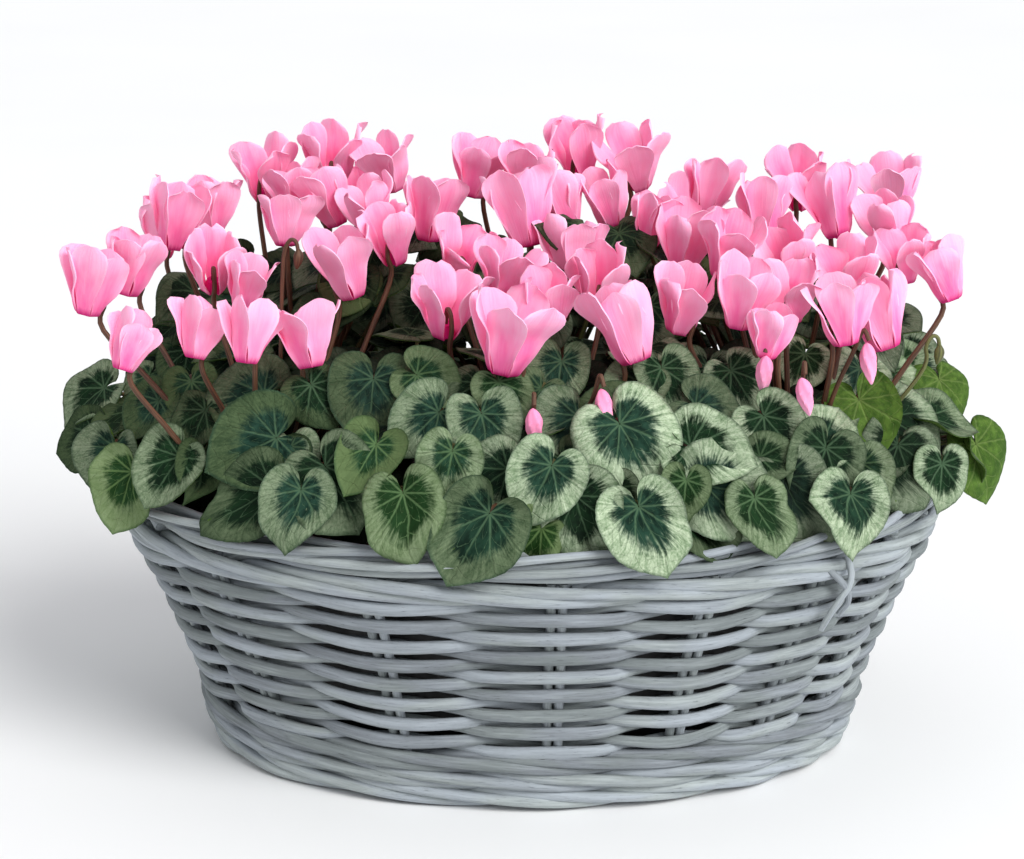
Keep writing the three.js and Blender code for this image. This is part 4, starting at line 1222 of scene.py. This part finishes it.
def blade(skin, leaf, luck, young):
    width = leaf["width"]
    directions = FILLING_DIRECTIONS if leaf["filling"] else LEAF_DIRECTIONS
    turn = np.linspace(-1, 1, directions) * math.radians(LEAF_EDGE[-1][0])
    edge = np.interp(np.degrees(np.abs(turn)), LEAF_OUTLINE[:, 0], LEAF_OUTLINE[:, 1])
    lopsided = 1 + luck.jitter(LOPSIDED["once"]) * np.sin(turn)
    lopsided = lopsided + luck.jitter(LOPSIDED["thrice"]) * np.sin(turn * 3 + luck.draw() * 6)
    teeth = 1 + TOOTH * np.abs(((turn * TEETH / math.pi) % 2) - 1)
    edge = edge * lopsided * teeth
    part = np.array(FILLING_RING_PARTS if leaf["filling"] else LEAF_RING_PARTS)[None, :]
    x = (np.cos(turn) * edge)[:, None] * part
    y = (np.sin(turn) * edge)[:, None] * part
    wave = luck.between(*EDGE_WAVE["high"])
    wave = wave * np.sin(turn * luck.between(*EDGE_WAVE["waves"]) + luck.draw() * 6)[:, None] * part ** 2
    curl = luck.between(*CURL) * part ** 4
    quilt = QUILT * np.abs(np.sin(turn * math.pi / 2 / VEIN_SPACING))[:, None] * part * (1.2 - part)
    fold = leaf["fold"] + luck.between(0.0, EXTRA_FOLD)
    bend = fold * np.abs(y) - leaf["droop"] * (x * x + y * y)
    z = bend + wave - curl + quilt
    turned = np.array(leaf["frame"].to_3x3())
    middle = draped(np.stack([x, y, z], -1) * width @ turned.T + np.array(leaf["frame"].translation))
    skin_offset = turned[:, 2] * LEAF_HALF_THICKNESS
    loop = np.concatenate([middle + skin_offset, (middle - skin_offset)[:, ::-1]], 1)
    parts = np.broadcast_to(np.concatenate([part, part[:, ::-1]], 1), loop.shape[:2])
    fan = np.stack([np.broadcast_to(turn[:, None], parts.shape), parts, parts * edge[:, None] * width], -1)
    under = np.full(parts.shape, 1.0 if leaf["turned"] else 0.0)
    under[:, part.size:] = 1 - under[:, part.size:]
    # Painted shade: cover and layer darken the leaf's colour, and its underside half as much
    painted_darkness = np.clip(painted_cover_shade(middle, leaf) + leaf["shade"], 0, DARKEST_PAINTED_SHADE)
    shade = np.concatenate([painted_darkness, painted_darkness[:, ::-1] * UNDERSIDE_SHADE], 1)
    skin.add(loop, tube_faces(directions, 2 * part.size, False), fan=fan.reshape(-1, 3),
             tone=luck.draw(), young=young, under=under.ravel(), shade=shade.ravel(),
             bright=silver_light(leaf, luck))


print("a blade has", LEAF_DIRECTIONS, "directions from its stem and", len(LEAF_RING_PARTS), "rings")

# %% Leaves that fill the gaps
GOLDEN_ANGLE = 2.39996
# front_shade and back_shade are painted shade: the filling leaves at the front are painted nearly black,
# those behind much less
UNDER = {
    "number": 96, "swing": 0.3, "lowest": 6, "climb": 66, "chance": 4, "sunk": (0.76, 0.92), "inset": 0.97,
    "lower": 4, "downhill": -0.6, "lean": 0.25, "width": (22, 32), "front_shade": 0.88, "back_shade": 0.3,
}
# The crest leaves carry a painted shade of one half, for the shadow among the flower stalks
CREST = {
    "number": 112, "swing": 0.4, "length": 176, "depth": 56, "middle": 48, "rise": 54, "clear": 15,
    "forward": 0.6, "downhill": -0.5, "lean": 0.45, "width": (21, 29), "shade": 0.5,
}
CREST_FACING = {"up": 0.7, "viewer": 0.6}
under_luck = Chance(4111)


def filling_leaf(middle, facing, direction, widths, shade):
    leaf = make_leaf(under_luck, middle, facing, direction, under_luck.between(*widths))
    leaf["frame"] = leaf_frame(middle, leaf["normal"], direction)
    leaf.update(filling=True, shade=shade)
    return leaf


def under_leaves():
    """Smaller leaves beneath the outer ones, so that no bare compost shows between them."""
    fill = []
    for i in range(UNDER["number"]):
        turn = i * GOLDEN_ANGLE + under_luck.jitter(UNDER["swing"])
        climb = UNDER["climb"] * (i / UNDER["number"]) ** 0.8
        up = math.radians(UNDER["lowest"] + climb + under_luck.jitter(UNDER["chance"]))
        sunk = under_luck.between(*UNDER["sunk"])
        middle = Vector((
            MOUND["length"] * math.cos(turn) * math.cos(up) * sunk * UNDER["inset"],
            MOUND["depth"] * math.sin(turn) * math.cos(up) * sunk * UNDER["inset"],
            MOUND["base"] + (MOUND["height"] * math.sin(up) - UNDER["lower"]) * sunk,
        ))
        direction = Vector((math.cos(turn), math.sin(turn), UNDER["downhill"]))
        facing = viewer_normal(middle) if middle.y < 0 else tile_normal(middle)
        facing += random_lean(under_luck, UNDER["lean"])
        # Painted shade: near-black at the front, lighter behind
        shade = UNDER["front_shade"] if middle.y < 0 else UNDER["back_shade"]
        fill.append(filling_leaf(middle, facing, direction, UNDER["width"], shade))
    return fill


def crest_leaves():
    """Leaves that stand up among the flower stalks, wherever no bloom is in the way."""
    fill = []
    for i in range(CREST["number"]):
        turn = i * GOLDEN_ANGLE + under_luck.jitter(CREST["swing"])
        out = math.sqrt((i + 0.5) / CREST["number"])
        x = CREST["length"] * out * math.cos(turn)
        y = CREST["depth"] * out * math.sin(turn) + CREST["middle"]
        dome = math.sqrt(max(0.05, 1 - (x / MOUND["length"]) ** 2 - (y / MOUND["depth"]) ** 2))
        height = MOUND["base"] + (MOUND["height"] + CREST["rise"] * under_luck.draw()) * dome
        middle = Vector((x, y, height))
        direction = Vector((math.cos(turn), math.sin(turn) - CREST["forward"], CREST["downhill"]))
        facing = Vector((0, 0, CREST_FACING["up"])) - view_forward * CREST_FACING["viewer"]
        facing += random_lean(under_luck, CREST["lean"])
        leaf = filling_leaf(middle, facing, direction, CREST["width"], CREST["shade"])
        if min((bloom - middle).length for bloom in bloom_middles) > CREST["clear"]:
            fill.append(leaf)
    return fill


bloom_middles = [head["frame"] @ Vector((0, 0, PETAL_TIP_HEIGHT / 2)) for head in heads]
filling = under_leaves() + crest_leaves()
print(len(filling), "leaves fill the gaps")

# %% Every leaf of each plant
YOUNG_SHARE = 0.05
YOUNG_TINT = 0.8
OLDER_TINT = 0.25

leaf_luck = Chance(2024)
for plant in range(len(CROWNS)):
    blades = Skin()
    for leaf in leaves + filling:
        if leaf["plant"] == plant:
            chance = leaf_luck.draw()
            young = leaf["young"] or (YOUNG_TINT if chance < YOUNG_SHARE else OLDER_TINT * chance)
            blade(blades, leaf, leaf_luck, young)
    blades.piece(f"leaves_{plant + 1}", leaf_green, "foliage", f"plant_{plant + 1}")

# %% [markdown]
# ## Stems, stalks and corms
#
# Every stem starts at the corm, the swollen base that sits half out of the compost. The leaf stems
# arch over to their blade. The flower stalks are red-brown and stand taller, with a hook at the top
# that holds the bloom nose down. Two of them are spent: the petals have fallen and a seed pod hangs
# on the hook. All are tubes along a smooth route.

# %% Finish of the stems
def stem_finish():
    finish = Finish("stalk", IOR=1.42)
    along, across, through = finish.parts(finish.note("grain", "Vector"))
    tone = finish.note("tone")
    streak = finish.noise(finish.vector(along * 0.09 + tone * 50, across, through), 1.0, 4.0)
    fine = finish.noise(finish.vector(along * 0.6 + tone * 50, across * 3, through * 3), 1.0, 2.0)
    red = finish.mix(streak.step(0.3, 0.7), paint(62, 38, 28), paint(112, 76, 54))
    green = finish.mix(streak.step(0.3, 0.7), paint(70, 70, 38), paint(112, 116, 66))
    colour = finish.mix(tone.step(0.35, 0.75), red, green)
    rough = 0.42 + fine * 0.2
    return finish.finish(Base_Color=colour, Roughness=rough, Normal=finish.bump(fine, 0.0004, 0.5))


stalk_colour = stem_finish()
print("made", stalk_colour.name)

# %% Routes of the stems
STALK_RADIUS = 1.2
STALK_TAPER = [1.1, 0.85]
STALK_RINGS = 34
STALK_BOW = 4
STALK_HOOK = [[-8.5, -7], [-7, 5], [-4.2, 11.5], [0, 12], [0, 3.8]]
LEAF_STEM_RADIUS = 1.1
LEAF_STEM_TAPER = [1.1, 0.8]
LEAF_STEM_RINGS = 18
LEAF_STEM_JOINT = Vector((0.4, 0, -1.1))
LEAF_STEM_ELBOW = Vector((-2.5, 0, -6))
LEAF_STEM_ARCH = {"share": 0.45, "rise": 14, "less": 0.12, "least": 4}
CROWN_SPREAD = 7
CROWN_FULL_SPREAD_AT = 60
CROWN_LIFT = 3
# A direction across the stalks, which settles how each tube is turned
SIDELONG = (0.31, 0.95, 0.02)


def crown_point(plant, towards):
    """Where a stem leaves the corm on its way to a place."""
    middle = Vector((*CROWNS[plant], COMPOST_TOP + CROWN_LIFT))
    flat = Vector((towards.x - middle.x, towards.y - middle.y, 0))
    reach = min(1.0, flat.length / CROWN_FULL_SPREAD_AT) * CROWN_SPREAD
    return middle + flat.normalized() * reach


def leaf_stem(skin, leaf, luck):
    joint = leaf["frame"] @ LEAF_STEM_JOINT
    elbow = leaf["frame"] @ LEAF_STEM_ELBOW
    start = crown_point(leaf["plant"], elbow)
    rise = LEAF_STEM_ARCH["rise"] - LEAF_STEM_ARCH["less"] * (elbow.z - start.z)
    lift = Vector((0, 0, max(LEAF_STEM_ARCH["least"], rise)))
    path = smooth([start, start.lerp(elbow, LEAF_STEM_ARCH["share"]) + lift, elbow, joint], LEAF_STEM_RINGS)
    taper = np.linspace(*LEAF_STEM_TAPER, LEAF_STEM_RINGS) * LEAF_STEM_RADIUS
    rod(skin, path, taper, taper, (0.02, 0.03, 1), sides=7, tone=0.2 + 0.6 * luck.draw())


def stalk(skin, head, luck):
    hook = [head["frame"] @ Vector((x, 0, z)) for x, z in STALK_HOOK]
    start = crown_point(head["plant"], hook[0])
    bow = Vector((luck.jitter(STALK_BOW), luck.jitter(STALK_BOW), 0))
    low = start.lerp(hook[0], 0.35) + bow
    high = start.lerp(hook[0], 0.72) + bow * 0.6
    path = smooth([start, low, high, *hook], STALK_RINGS)
    taper = np.linspace(*STALK_TAPER, STALK_RINGS) * STALK_RADIUS
    rod(skin, path, taper, taper, SIDELONG, tone=0.42 * luck.draw())


print("at scale 1, a stalk hooks over", STALK_HOOK[3][1], "mm above the nose of its bloom")

# %% Stalks of buds, spent stalks and corms
BUD_STALK = {"radius": 1.0, "rings": 26, "tone": 0.2, "beside": 8, "top": 8, "over": (3, 4), "bow": 8}
SPENT = [
    {"across": 936, "down": 334, "depth": -34, "tone": 0.95},
    {"across": 291, "down": 238, "depth": -36, "tone": 0.3},
]
SPENT_RADIUS = 0.9
SPENT_HOOK = [[-4.5, -16], [-3.2, -5], [-0.8, -0.5], [1.6, -1.2], [2.6, -5.5]]
SPENT_POD = [[2.6, -4.5], [2.6, -7], [2.2, -10], [1.6, -13]]
POD_RADII = [0.9, 2.2, 1.9, 0.5]
POD_RINGS = 12
STRAIGHT_SHARE = 0.6
CORM_PROFILE = [[12, -6], [14.2, -1], [12.5, 3.4], [8.6, 6.0], [4, 6.4], [1.2, 5.6]]
CORM_RINGS = 14
CORM_SIDES = 24


def bud_stalk(skin, bud):
    """A stalk that comes up beside its bud and bends over into the top of it."""
    middle = bud["middle"]
    inward = (Vector((*CROWNS[bud["plant"]], 0)) - Vector((middle.x, middle.y, 0))).normalized()
    top = middle + Vector((0, 0, BUD_STALK["top"]))
    start = crown_point(bud["plant"], middle)
    beside = middle + inward * BUD_STALK["beside"]
    over = top + inward * BUD_STALK["over"][0] + Vector((0, 0, BUD_STALK["over"][1]))
    bow = start.lerp(beside, STRAIGHT_SHARE) + Vector((0, 0, BUD_STALK["bow"]))
    path = smooth([start, bow, beside, over, top], BUD_STALK["rings"])
    rod(skin, path, BUD_STALK["radius"], BUD_STALK["radius"], SIDELONG, tone=BUD_STALK["tone"])


def spent_stalk(skin, top, tone):
    """A stalk whose petals have fallen, with the seed pod on its hook."""
    hook = [top + Vector((x, 0, z)) for x, z in SPENT_HOOK]
    start = crown_point(nearest_crown(top.x, top.y), top)
    path = smooth([start, start.lerp(hook[0], STRAIGHT_SHARE), *hook], 30)
    rod(skin, path, SPENT_RADIUS, SPENT_RADIUS, SIDELONG, tone=tone)
    pod = smooth([top + Vector((x, 0, z)) for x, z in SPENT_POD], POD_RINGS)
    radii = smooth(np.array(POD_RADII)[:, None], POD_RINGS)[:, 0]
    rod(skin, pod, radii, radii, SIDELONG, tone=tone)


def corm(skin, plant):
    """The swollen base of a plant, a little lumpy."""
    around = np.linspace(0, 2 * math.pi, CORM_SIDES, endpoint=False)
    lumpy = 1 + 0.06 * np.sin(around * 3 + plant) + 0.03 * np.sin(around * 7)
    rings = []
    for radius, height in smooth(CORM_PROFILE, CORM_RINGS):
        x = CROWNS[plant][0] + radius * lumpy * np.cos(around)
        y = CROWNS[plant][1] + radius * lumpy * np.sin(around)
        rings.append(np.stack([x, y, np.full(CORM_SIDES, COMPOST_TOP + height)], 1))
    points = np.concatenate(rings)
    grain = np.stack([points[:, 2], points[:, 0] * 0.3, points[:, 1] * 0.3], 1)
    skin.add(points, tube_faces(CORM_RINGS, CORM_SIDES, False), grain=grain, tone=0.1)


print(len(buds), "buds and", len(SPENT), "spent stalks to come")

# %% The stems of each plant
stem_luck = Chance(515)
for plant in range(len(CROWNS)):
    stems = Skin()
    for leaf in leaves + filling:
        if leaf["plant"] == plant:
            leaf_stem(stems, leaf, stem_luck)
    for head in heads:
        if head["plant"] == plant:
            stalk(stems, head, stem_luck)
    for bud in buds:
        if bud["plant"] == plant:
            bud_stalk(stems, bud)
    for spent in SPENT:
        top = at_depth(spent["across"], spent["down"], spent["depth"])
        if nearest_crown(top.x, top.y) == plant:
            spent_stalk(stems, top, spent["tone"])
    corm(stems, plant)
    stems.piece(f"stems_{plant + 1}", stalk_colour, "foliage")

# %% [markdown]
# ## Petals
#
# The bloom hangs nose down and its five petals sweep up and back, like a shuttlecock. Each petal
# starts inside the mouth, turns over the lip and widens towards a rounded end. The colour
# deepens towards the mouth, which has a magenta ring, and fine veins run along the petal. Daylight
# passes through a real petal; a little pink glow and some scattering under the surface stand for it.

# %% Finish of the petals
# Painted light: the petals glow faintly pink, in place of daylight passing through them
GLOWING_THIN_PETAL = {
    "IOR": 1.36, "Specular_IOR_Level": 0.2, "Emission_Strength": 0.085,
    "Subsurface_Weight": 0.25, "Subsurface_Radius": (0.004, 0.0015, 0.002),
}


def petal_finish():
    finish = Finish("pink_petal", **GLOWING_THIN_PETAL)
    along, across, luck = finish.parts(finish.note("petal", "Vector"))
    tone = finish.note("tone")
    vein = finish.noise(finish.vector(across * 9 + luck * 30, along * 1.3, luck * 8), 1.0, 3.0)
    cloud = finish.noise(finish.vector(across * 1.5 + luck * 30, along * 2.2, luck * 5), 1.0, 2.0)
    edge = finish.node("ShaderNodeMath", {"operation": "ABSOLUTE"}, {0: across})
    pale = along * 0.8 + edge * 0.25 + (cloud - 0.5) * 0.6 - 0.1
    rose = finish.mix(pale.step(0.05, 0.85), paint(242, 104, 164), paint(255, 186, 218))
    rose = finish.mix(vein.step(0.42, 0.7) * 0.25, rose, paint(244, 132, 186))
    rose = finish.mix(tone.step(0.4, 1.0) * 0.4, rose, paint(255, 200, 226))
    rim = finish.mix(edge.step(0.8, 1.0) * along * 0.5, rose, paint(255, 210, 232))
    eye = (along + (vein - 0.5) * 0.09).step(0.22, 0.1)
    colour = finish.mix(eye * 0.92, rim, paint(194, 18, 112))
    height = vein * 0.8 + cloud * 0.6
    return finish.finish(
        Base_Color=colour,
        Roughness=0.6 + vein * 0.15,
        Normal=finish.bump(height, 0.0007, 0.4),
        # A painted glow, pink, and deeper magenta at the eye
        Emission_Color=finish.mix(eye, paint(255, 84, 138), paint(200, 10, 90)),
    )


petal_pink = petal_finish()
print("made", petal_pink.name)

# %% Shape of a petal
PETAL_STEPS = 21
PETAL_ACROSS = 9
PETAL_OVERLAP = 0.26
PETAL_HALF_THICKNESS = 0.28
PETAL_WIDTHS = np.array([
    [0, 2.3], [0.1, 2.8], [0.2, 3.3], [0.32, 4.4], [0.46, 6.2], [0.6, 8.0], [0.72, 9.2],
    [0.83, 9.5], [0.91, 8.6], [0.97, 6.2], [1.0, 3.4],
])
PETAL_LIP = [[2.8, 2.4], [4.2, -0.9], [5.8, 1.2]]
PETAL_TIP_RADIUS = 10.4
PETAL_MIDDLE_RADIUS = 8.6
PETAL_MIDDLE_HEIGHT = 15
PETAL_LIFE = {
    "bulge": (-0.3, 1.1), "width": (0.92, 1.06), "twist": 0.3, "cup": (-2.0, 2.6),
    "ripple": (0.6, 1.7), "ripples": (7, 12), "notch": (-0.7, 1.5),
}


def petal_spine(shape, bulge):
    """The line along the middle of a petal, as distances out and up from the nose."""
    spread = shape["spread"]
    tip_height = PETAL_TIP_HEIGHT * shape["long"] * (1.15 - spread * 0.15)
    tip_radius = PETAL_TIP_RADIUS * spread + 0.5
    middle_radius = PETAL_MIDDLE_RADIUS * (0.8 + spread * 0.2)
    high = [(middle_radius + tip_radius) / 2 + bulge, (PETAL_MIDDLE_HEIGHT + tip_height) / 2]
    middle = [[middle_radius - 1.2, 7.5], [middle_radius + 0.2, PETAL_MIDDLE_HEIGHT]]
    return smooth(PETAL_LIP + middle + [high, [tip_radius, tip_height]], PETAL_STEPS)


def petal(skin, head, shape, luck):
    spine = petal_spine(shape, luck.between(*PETAL_LIFE["bulge"]))
    steps = np.concatenate([[0], np.cumsum(np.linalg.norm(np.diff(spine, axis=0), axis=1))])
    along = steps / steps[-1]
    half = np.interp(along, PETAL_WIDTHS[:, 0], PETAL_WIDTHS[:, 1]) * shape["wide"]
    half = half * luck.between(*PETAL_LIFE["width"])
    across = np.sin(np.linspace(-1, 1, PETAL_ACROSS) * math.pi / 2)[None, :]
    overlap = PETAL_OVERLAP * np.clip((along - 0.22) / 0.25, 0, 1)
    twist = (shape["twist"] * 1.2 + luck.jitter(PETAL_LIFE["twist"])) * along ** 2 + overlap
    twist = twist[:, None]
    cup = luck.between(*PETAL_LIFE["cup"]) * (across ** 2) * (along[:, None] ** 2 * 1.4)
    ripple = luck.between(*PETAL_LIFE["ripple"])
    ripple = ripple * np.sin(along * luck.between(*PETAL_LIFE["ripples"]) + luck.draw() * 6)[:, None]
    ripple = ripple * np.abs(across) ** 3 * along[:, None] * 1.4
    sideways = half[:, None] * across
    out = spine[:, :1] + (cup + ripple) * np.cos(twist) + sideways * np.sin(twist)
    side = sideways * np.cos(twist)
    notch = luck.between(*PETAL_LIFE["notch"]) * np.exp(-(across / 0.4) ** 2) * along[:, None] ** 6
    up = np.broadcast_to(spine[:, 1:], out.shape) - 0.8 * across ** 2 * along[:, None] ** 2 - notch
    slope = np.gradient(spine, axis=0)
    facing = unit(np.stack([slope[:, 1], -slope[:, 0]], 1))[:, None, :] * PETAL_HALF_THICKNESS / head["size"]
    layers = []
    for sign in (1, -1):
        layers.append(np.stack([out + sign * facing[..., 0], side, up + sign * facing[..., 1]], -1))
    loop = np.concatenate([layers[0], layers[1][:, ::-1]], 1)
    turn = Matrix.Rotation(shape["turn"], 4, "Z")
    place = head["frame"] @ turn
    points = loop.reshape(-1, 3) @ np.array(place.to_3x3()).T + np.array(place.translation)
    marks = np.concatenate([across, across[:, ::-1]], 1)
    marks = np.broadcast_to(marks, loop.shape[:2])
    note = np.stack([np.broadcast_to(along[:, None], marks.shape), marks,
                     np.full(marks.shape, luck.draw())], -1)
    faces = tube_faces(PETAL_STEPS, 2 * PETAL_ACROSS, False)
    skin.add(points, faces, petal=note.reshape(-1, 3), tone=luck.draw())


print("at scale 1, a petal is at most", 2 * PETAL_WIDTHS[:, 1].max(), "mm wide")

# %% Mouths and buds
MOUTH_PROFILE = [
    [3.3, 5.2], [3.9, 2.6], [4.5, 0.3], [4.4, -0.7], [3.6, -0.9], [3.0, 0.4], [2.6, 2.6], [2.0, 4.2],
]
MOUTH_RINGS = 14
ROUND_SIDES = 20
BUD = {"below": 11, "above": 7, "rings": 22, "radius": 3.5, "ridge": 0.16, "wind": 7, "tilt": 0.35}


def round_ring(radius, height):
    """A ring of points; its radius may differ from point to point."""
    around = np.linspace(0, 2 * math.pi, ROUND_SIDES, endpoint=False)
    return np.stack([radius * np.cos(around), radius * np.sin(around), np.full(ROUND_SIDES, height)], 1)


def mouth(skin, head):
    """The short tube that the petals spring from, with its rolled magenta lip."""
    lobed = 1 + 0.05 * np.cos(np.linspace(0, 2 * math.pi, ROUND_SIDES, endpoint=False) * 5)
    rings = [round_ring(radius * lobed, height) for radius, height in smooth(MOUTH_PROFILE, MOUTH_RINGS)]
    place = head["frame"]
    points = np.concatenate(rings) @ np.array(place.to_3x3()).T + np.array(place.translation)
    skin.add(points, tube_faces(MOUTH_RINGS, ROUND_SIDES, False), petal=(0.08, 0.0, 0.5), tone=0.3)


def furled_bud(skin, bud, luck):
    """A bud: five petals wound round each other into a drooping point."""
    heights = np.linspace(-BUD["below"], BUD["above"], BUD["rings"])
    part = (heights + BUD["below"]) / (BUD["above"] + BUD["below"])
    radii = BUD["radius"] * np.sin(part * math.pi) ** 0.7 * (0.55 + 0.6 * part) + 0.25
    around = np.linspace(0, 2 * math.pi, ROUND_SIDES, endpoint=False)
    rings = []
    for height, radius, share in zip(heights, radii, part):
        ridged = radius * (1 + BUD["ridge"] * np.cos(around * 5 + share * BUD["wind"]))
        rings.append(round_ring(ridged, height))
    forwards = Matrix.Rotation(luck.jitter(BUD["tilt"]), 3, "X")
    tilt = np.array(forwards @ Matrix.Rotation(luck.jitter(BUD["tilt"]), 3, "Y"))
    points = np.concatenate(rings) @ tilt.T + np.array(bud["middle"])
    along = np.repeat(0.28 + 0.6 * (1 - part), ROUND_SIDES)
    note = np.stack([along, np.zeros(len(along)), np.full(len(along), luck.draw())], 1)
    skin.add(points, tube_faces(BUD["rings"], ROUND_SIDES, False), petal=note, tone=0.9)


print("at scale 1, a mouth is about", 2 * max(radius for radius, _ in MOUTH_PROFILE), "mm wide")

# %% The blooms of each plant
bloom_nodes = sorted(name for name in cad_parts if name.startswith(("bloom_", "bud_")))
petal_luck = Chance(90210)
blooms = [Skin() for _ in CROWNS]
for head in heads:
    for shape in head["petals"]:
        petal(blooms[head["plant"]], head, shape, petal_luck)
    mouth(blooms[head["plant"]], head)
for bud in buds:
    furled_bud(blooms[bud["plant"]], bud, petal_luck)


def node_plant(name):
    low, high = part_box(name)
    middle = [(a + b) / 2 / MM for a, b in zip(low, high)]
    return nearest_crown(middle[0], middle[1])


for plant, skin in enumerate(blooms):
    stood_for = [name for name in bloom_nodes if node_plant(name) == plant]
    skin.piece(f"blooms_{plant + 1}", petal_pink, "petal", *stood_for)

# %% [markdown]
# ## Floor and light
#
# The photograph is a cut-out on white under soft daylight, a little stronger and cooler from the
# right. A pale floor, a pale sky, a broad sun and one soft lamp give the same calm shadows.

# %% Floor
FLOOR_REACH_METRES = 40


def floor_finish():
    finish = Finish("pale_floor", Roughness=0.7)
    place = finish.node("ShaderNodeTexCoord", output="Object")
    grain = finish.noise(place, 3.0, 2.0)
    return finish.finish(Base_Color=finish.mix(grain, paint(240, 240, 240), paint(246, 246, 246)))


floor_mesh = bpy.data.meshes.new("floor")
square = ((-1, -1), (1, -1), (1, 1), (-1, 1))
corners = [(x * FLOOR_REACH_METRES, y * FLOOR_REACH_METRES, 0) for x, y in square]
floor_mesh.from_pydata(corners, [], [(0, 1, 2, 3)])
floor_mesh.materials.append(floor_finish())
floor = bpy.data.objects.new("floor", floor_mesh)
bpy.context.scene.collection.objects.link(floor)
print("the floor reaches", FLOOR_REACH_METRES, "m each way")

# %% Sky and lamps
SKY = {"colour": (0.95, 0.97, 1.0, 1), "strength": 0.66}
DAYLIGHT = {"from": Vector((0.8, -0.9, 1.1)), "power": 2.3, "width": 34, "colour": (1.0, 0.995, 0.985)}
WINDOW = {
    "from": Vector((1.6, -1.0, 0.8)), "towards": Vector((0, 0, 0.1)), "size": 1.0, "power": 8,
    "colour": (0.95, 0.98, 1.0),
}

world = bpy.data.worlds.new("pale_sky")
world.use_nodes = True
world.node_tree.nodes["Background"].inputs["Color"].default_value = SKY["colour"]
world.node_tree.nodes["Background"].inputs["Strength"].default_value = SKY["strength"]
bpy.context.scene.world = world


def hang_lamp(name, kind, look, place, turned):
    """A lamp of a kind, with the power and colour of its look."""
    lamp = bpy.data.lights.new(name, kind)
    lamp.energy = look["power"]
    lamp.color = look["colour"]
    holder = bpy.data.objects.new(name, lamp)
    holder.location = place
    holder.rotation_euler = turned.to_euler()
    bpy.context.scene.collection.objects.link(holder)
    return lamp


sun_turn = DAYLIGHT["from"].to_track_quat("Z", "Y")
sun = hang_lamp("daylight", "SUN", DAYLIGHT, (0, 0, 0), sun_turn)
sun.angle = math.radians(DAYLIGHT["width"])
window_turn = (WINDOW["towards"] - WINDOW["from"]).to_track_quat("-Z", "Y")
window = hang_lamp("window", "AREA", WINDOW, WINDOW["from"], window_turn)
window.size = WINDOW["size"]
bpy.context.scene.view_settings.view_transform = "Standard"
print("lit by", len(bpy.data.lights), "lamps and a sky of", SKY["strength"])
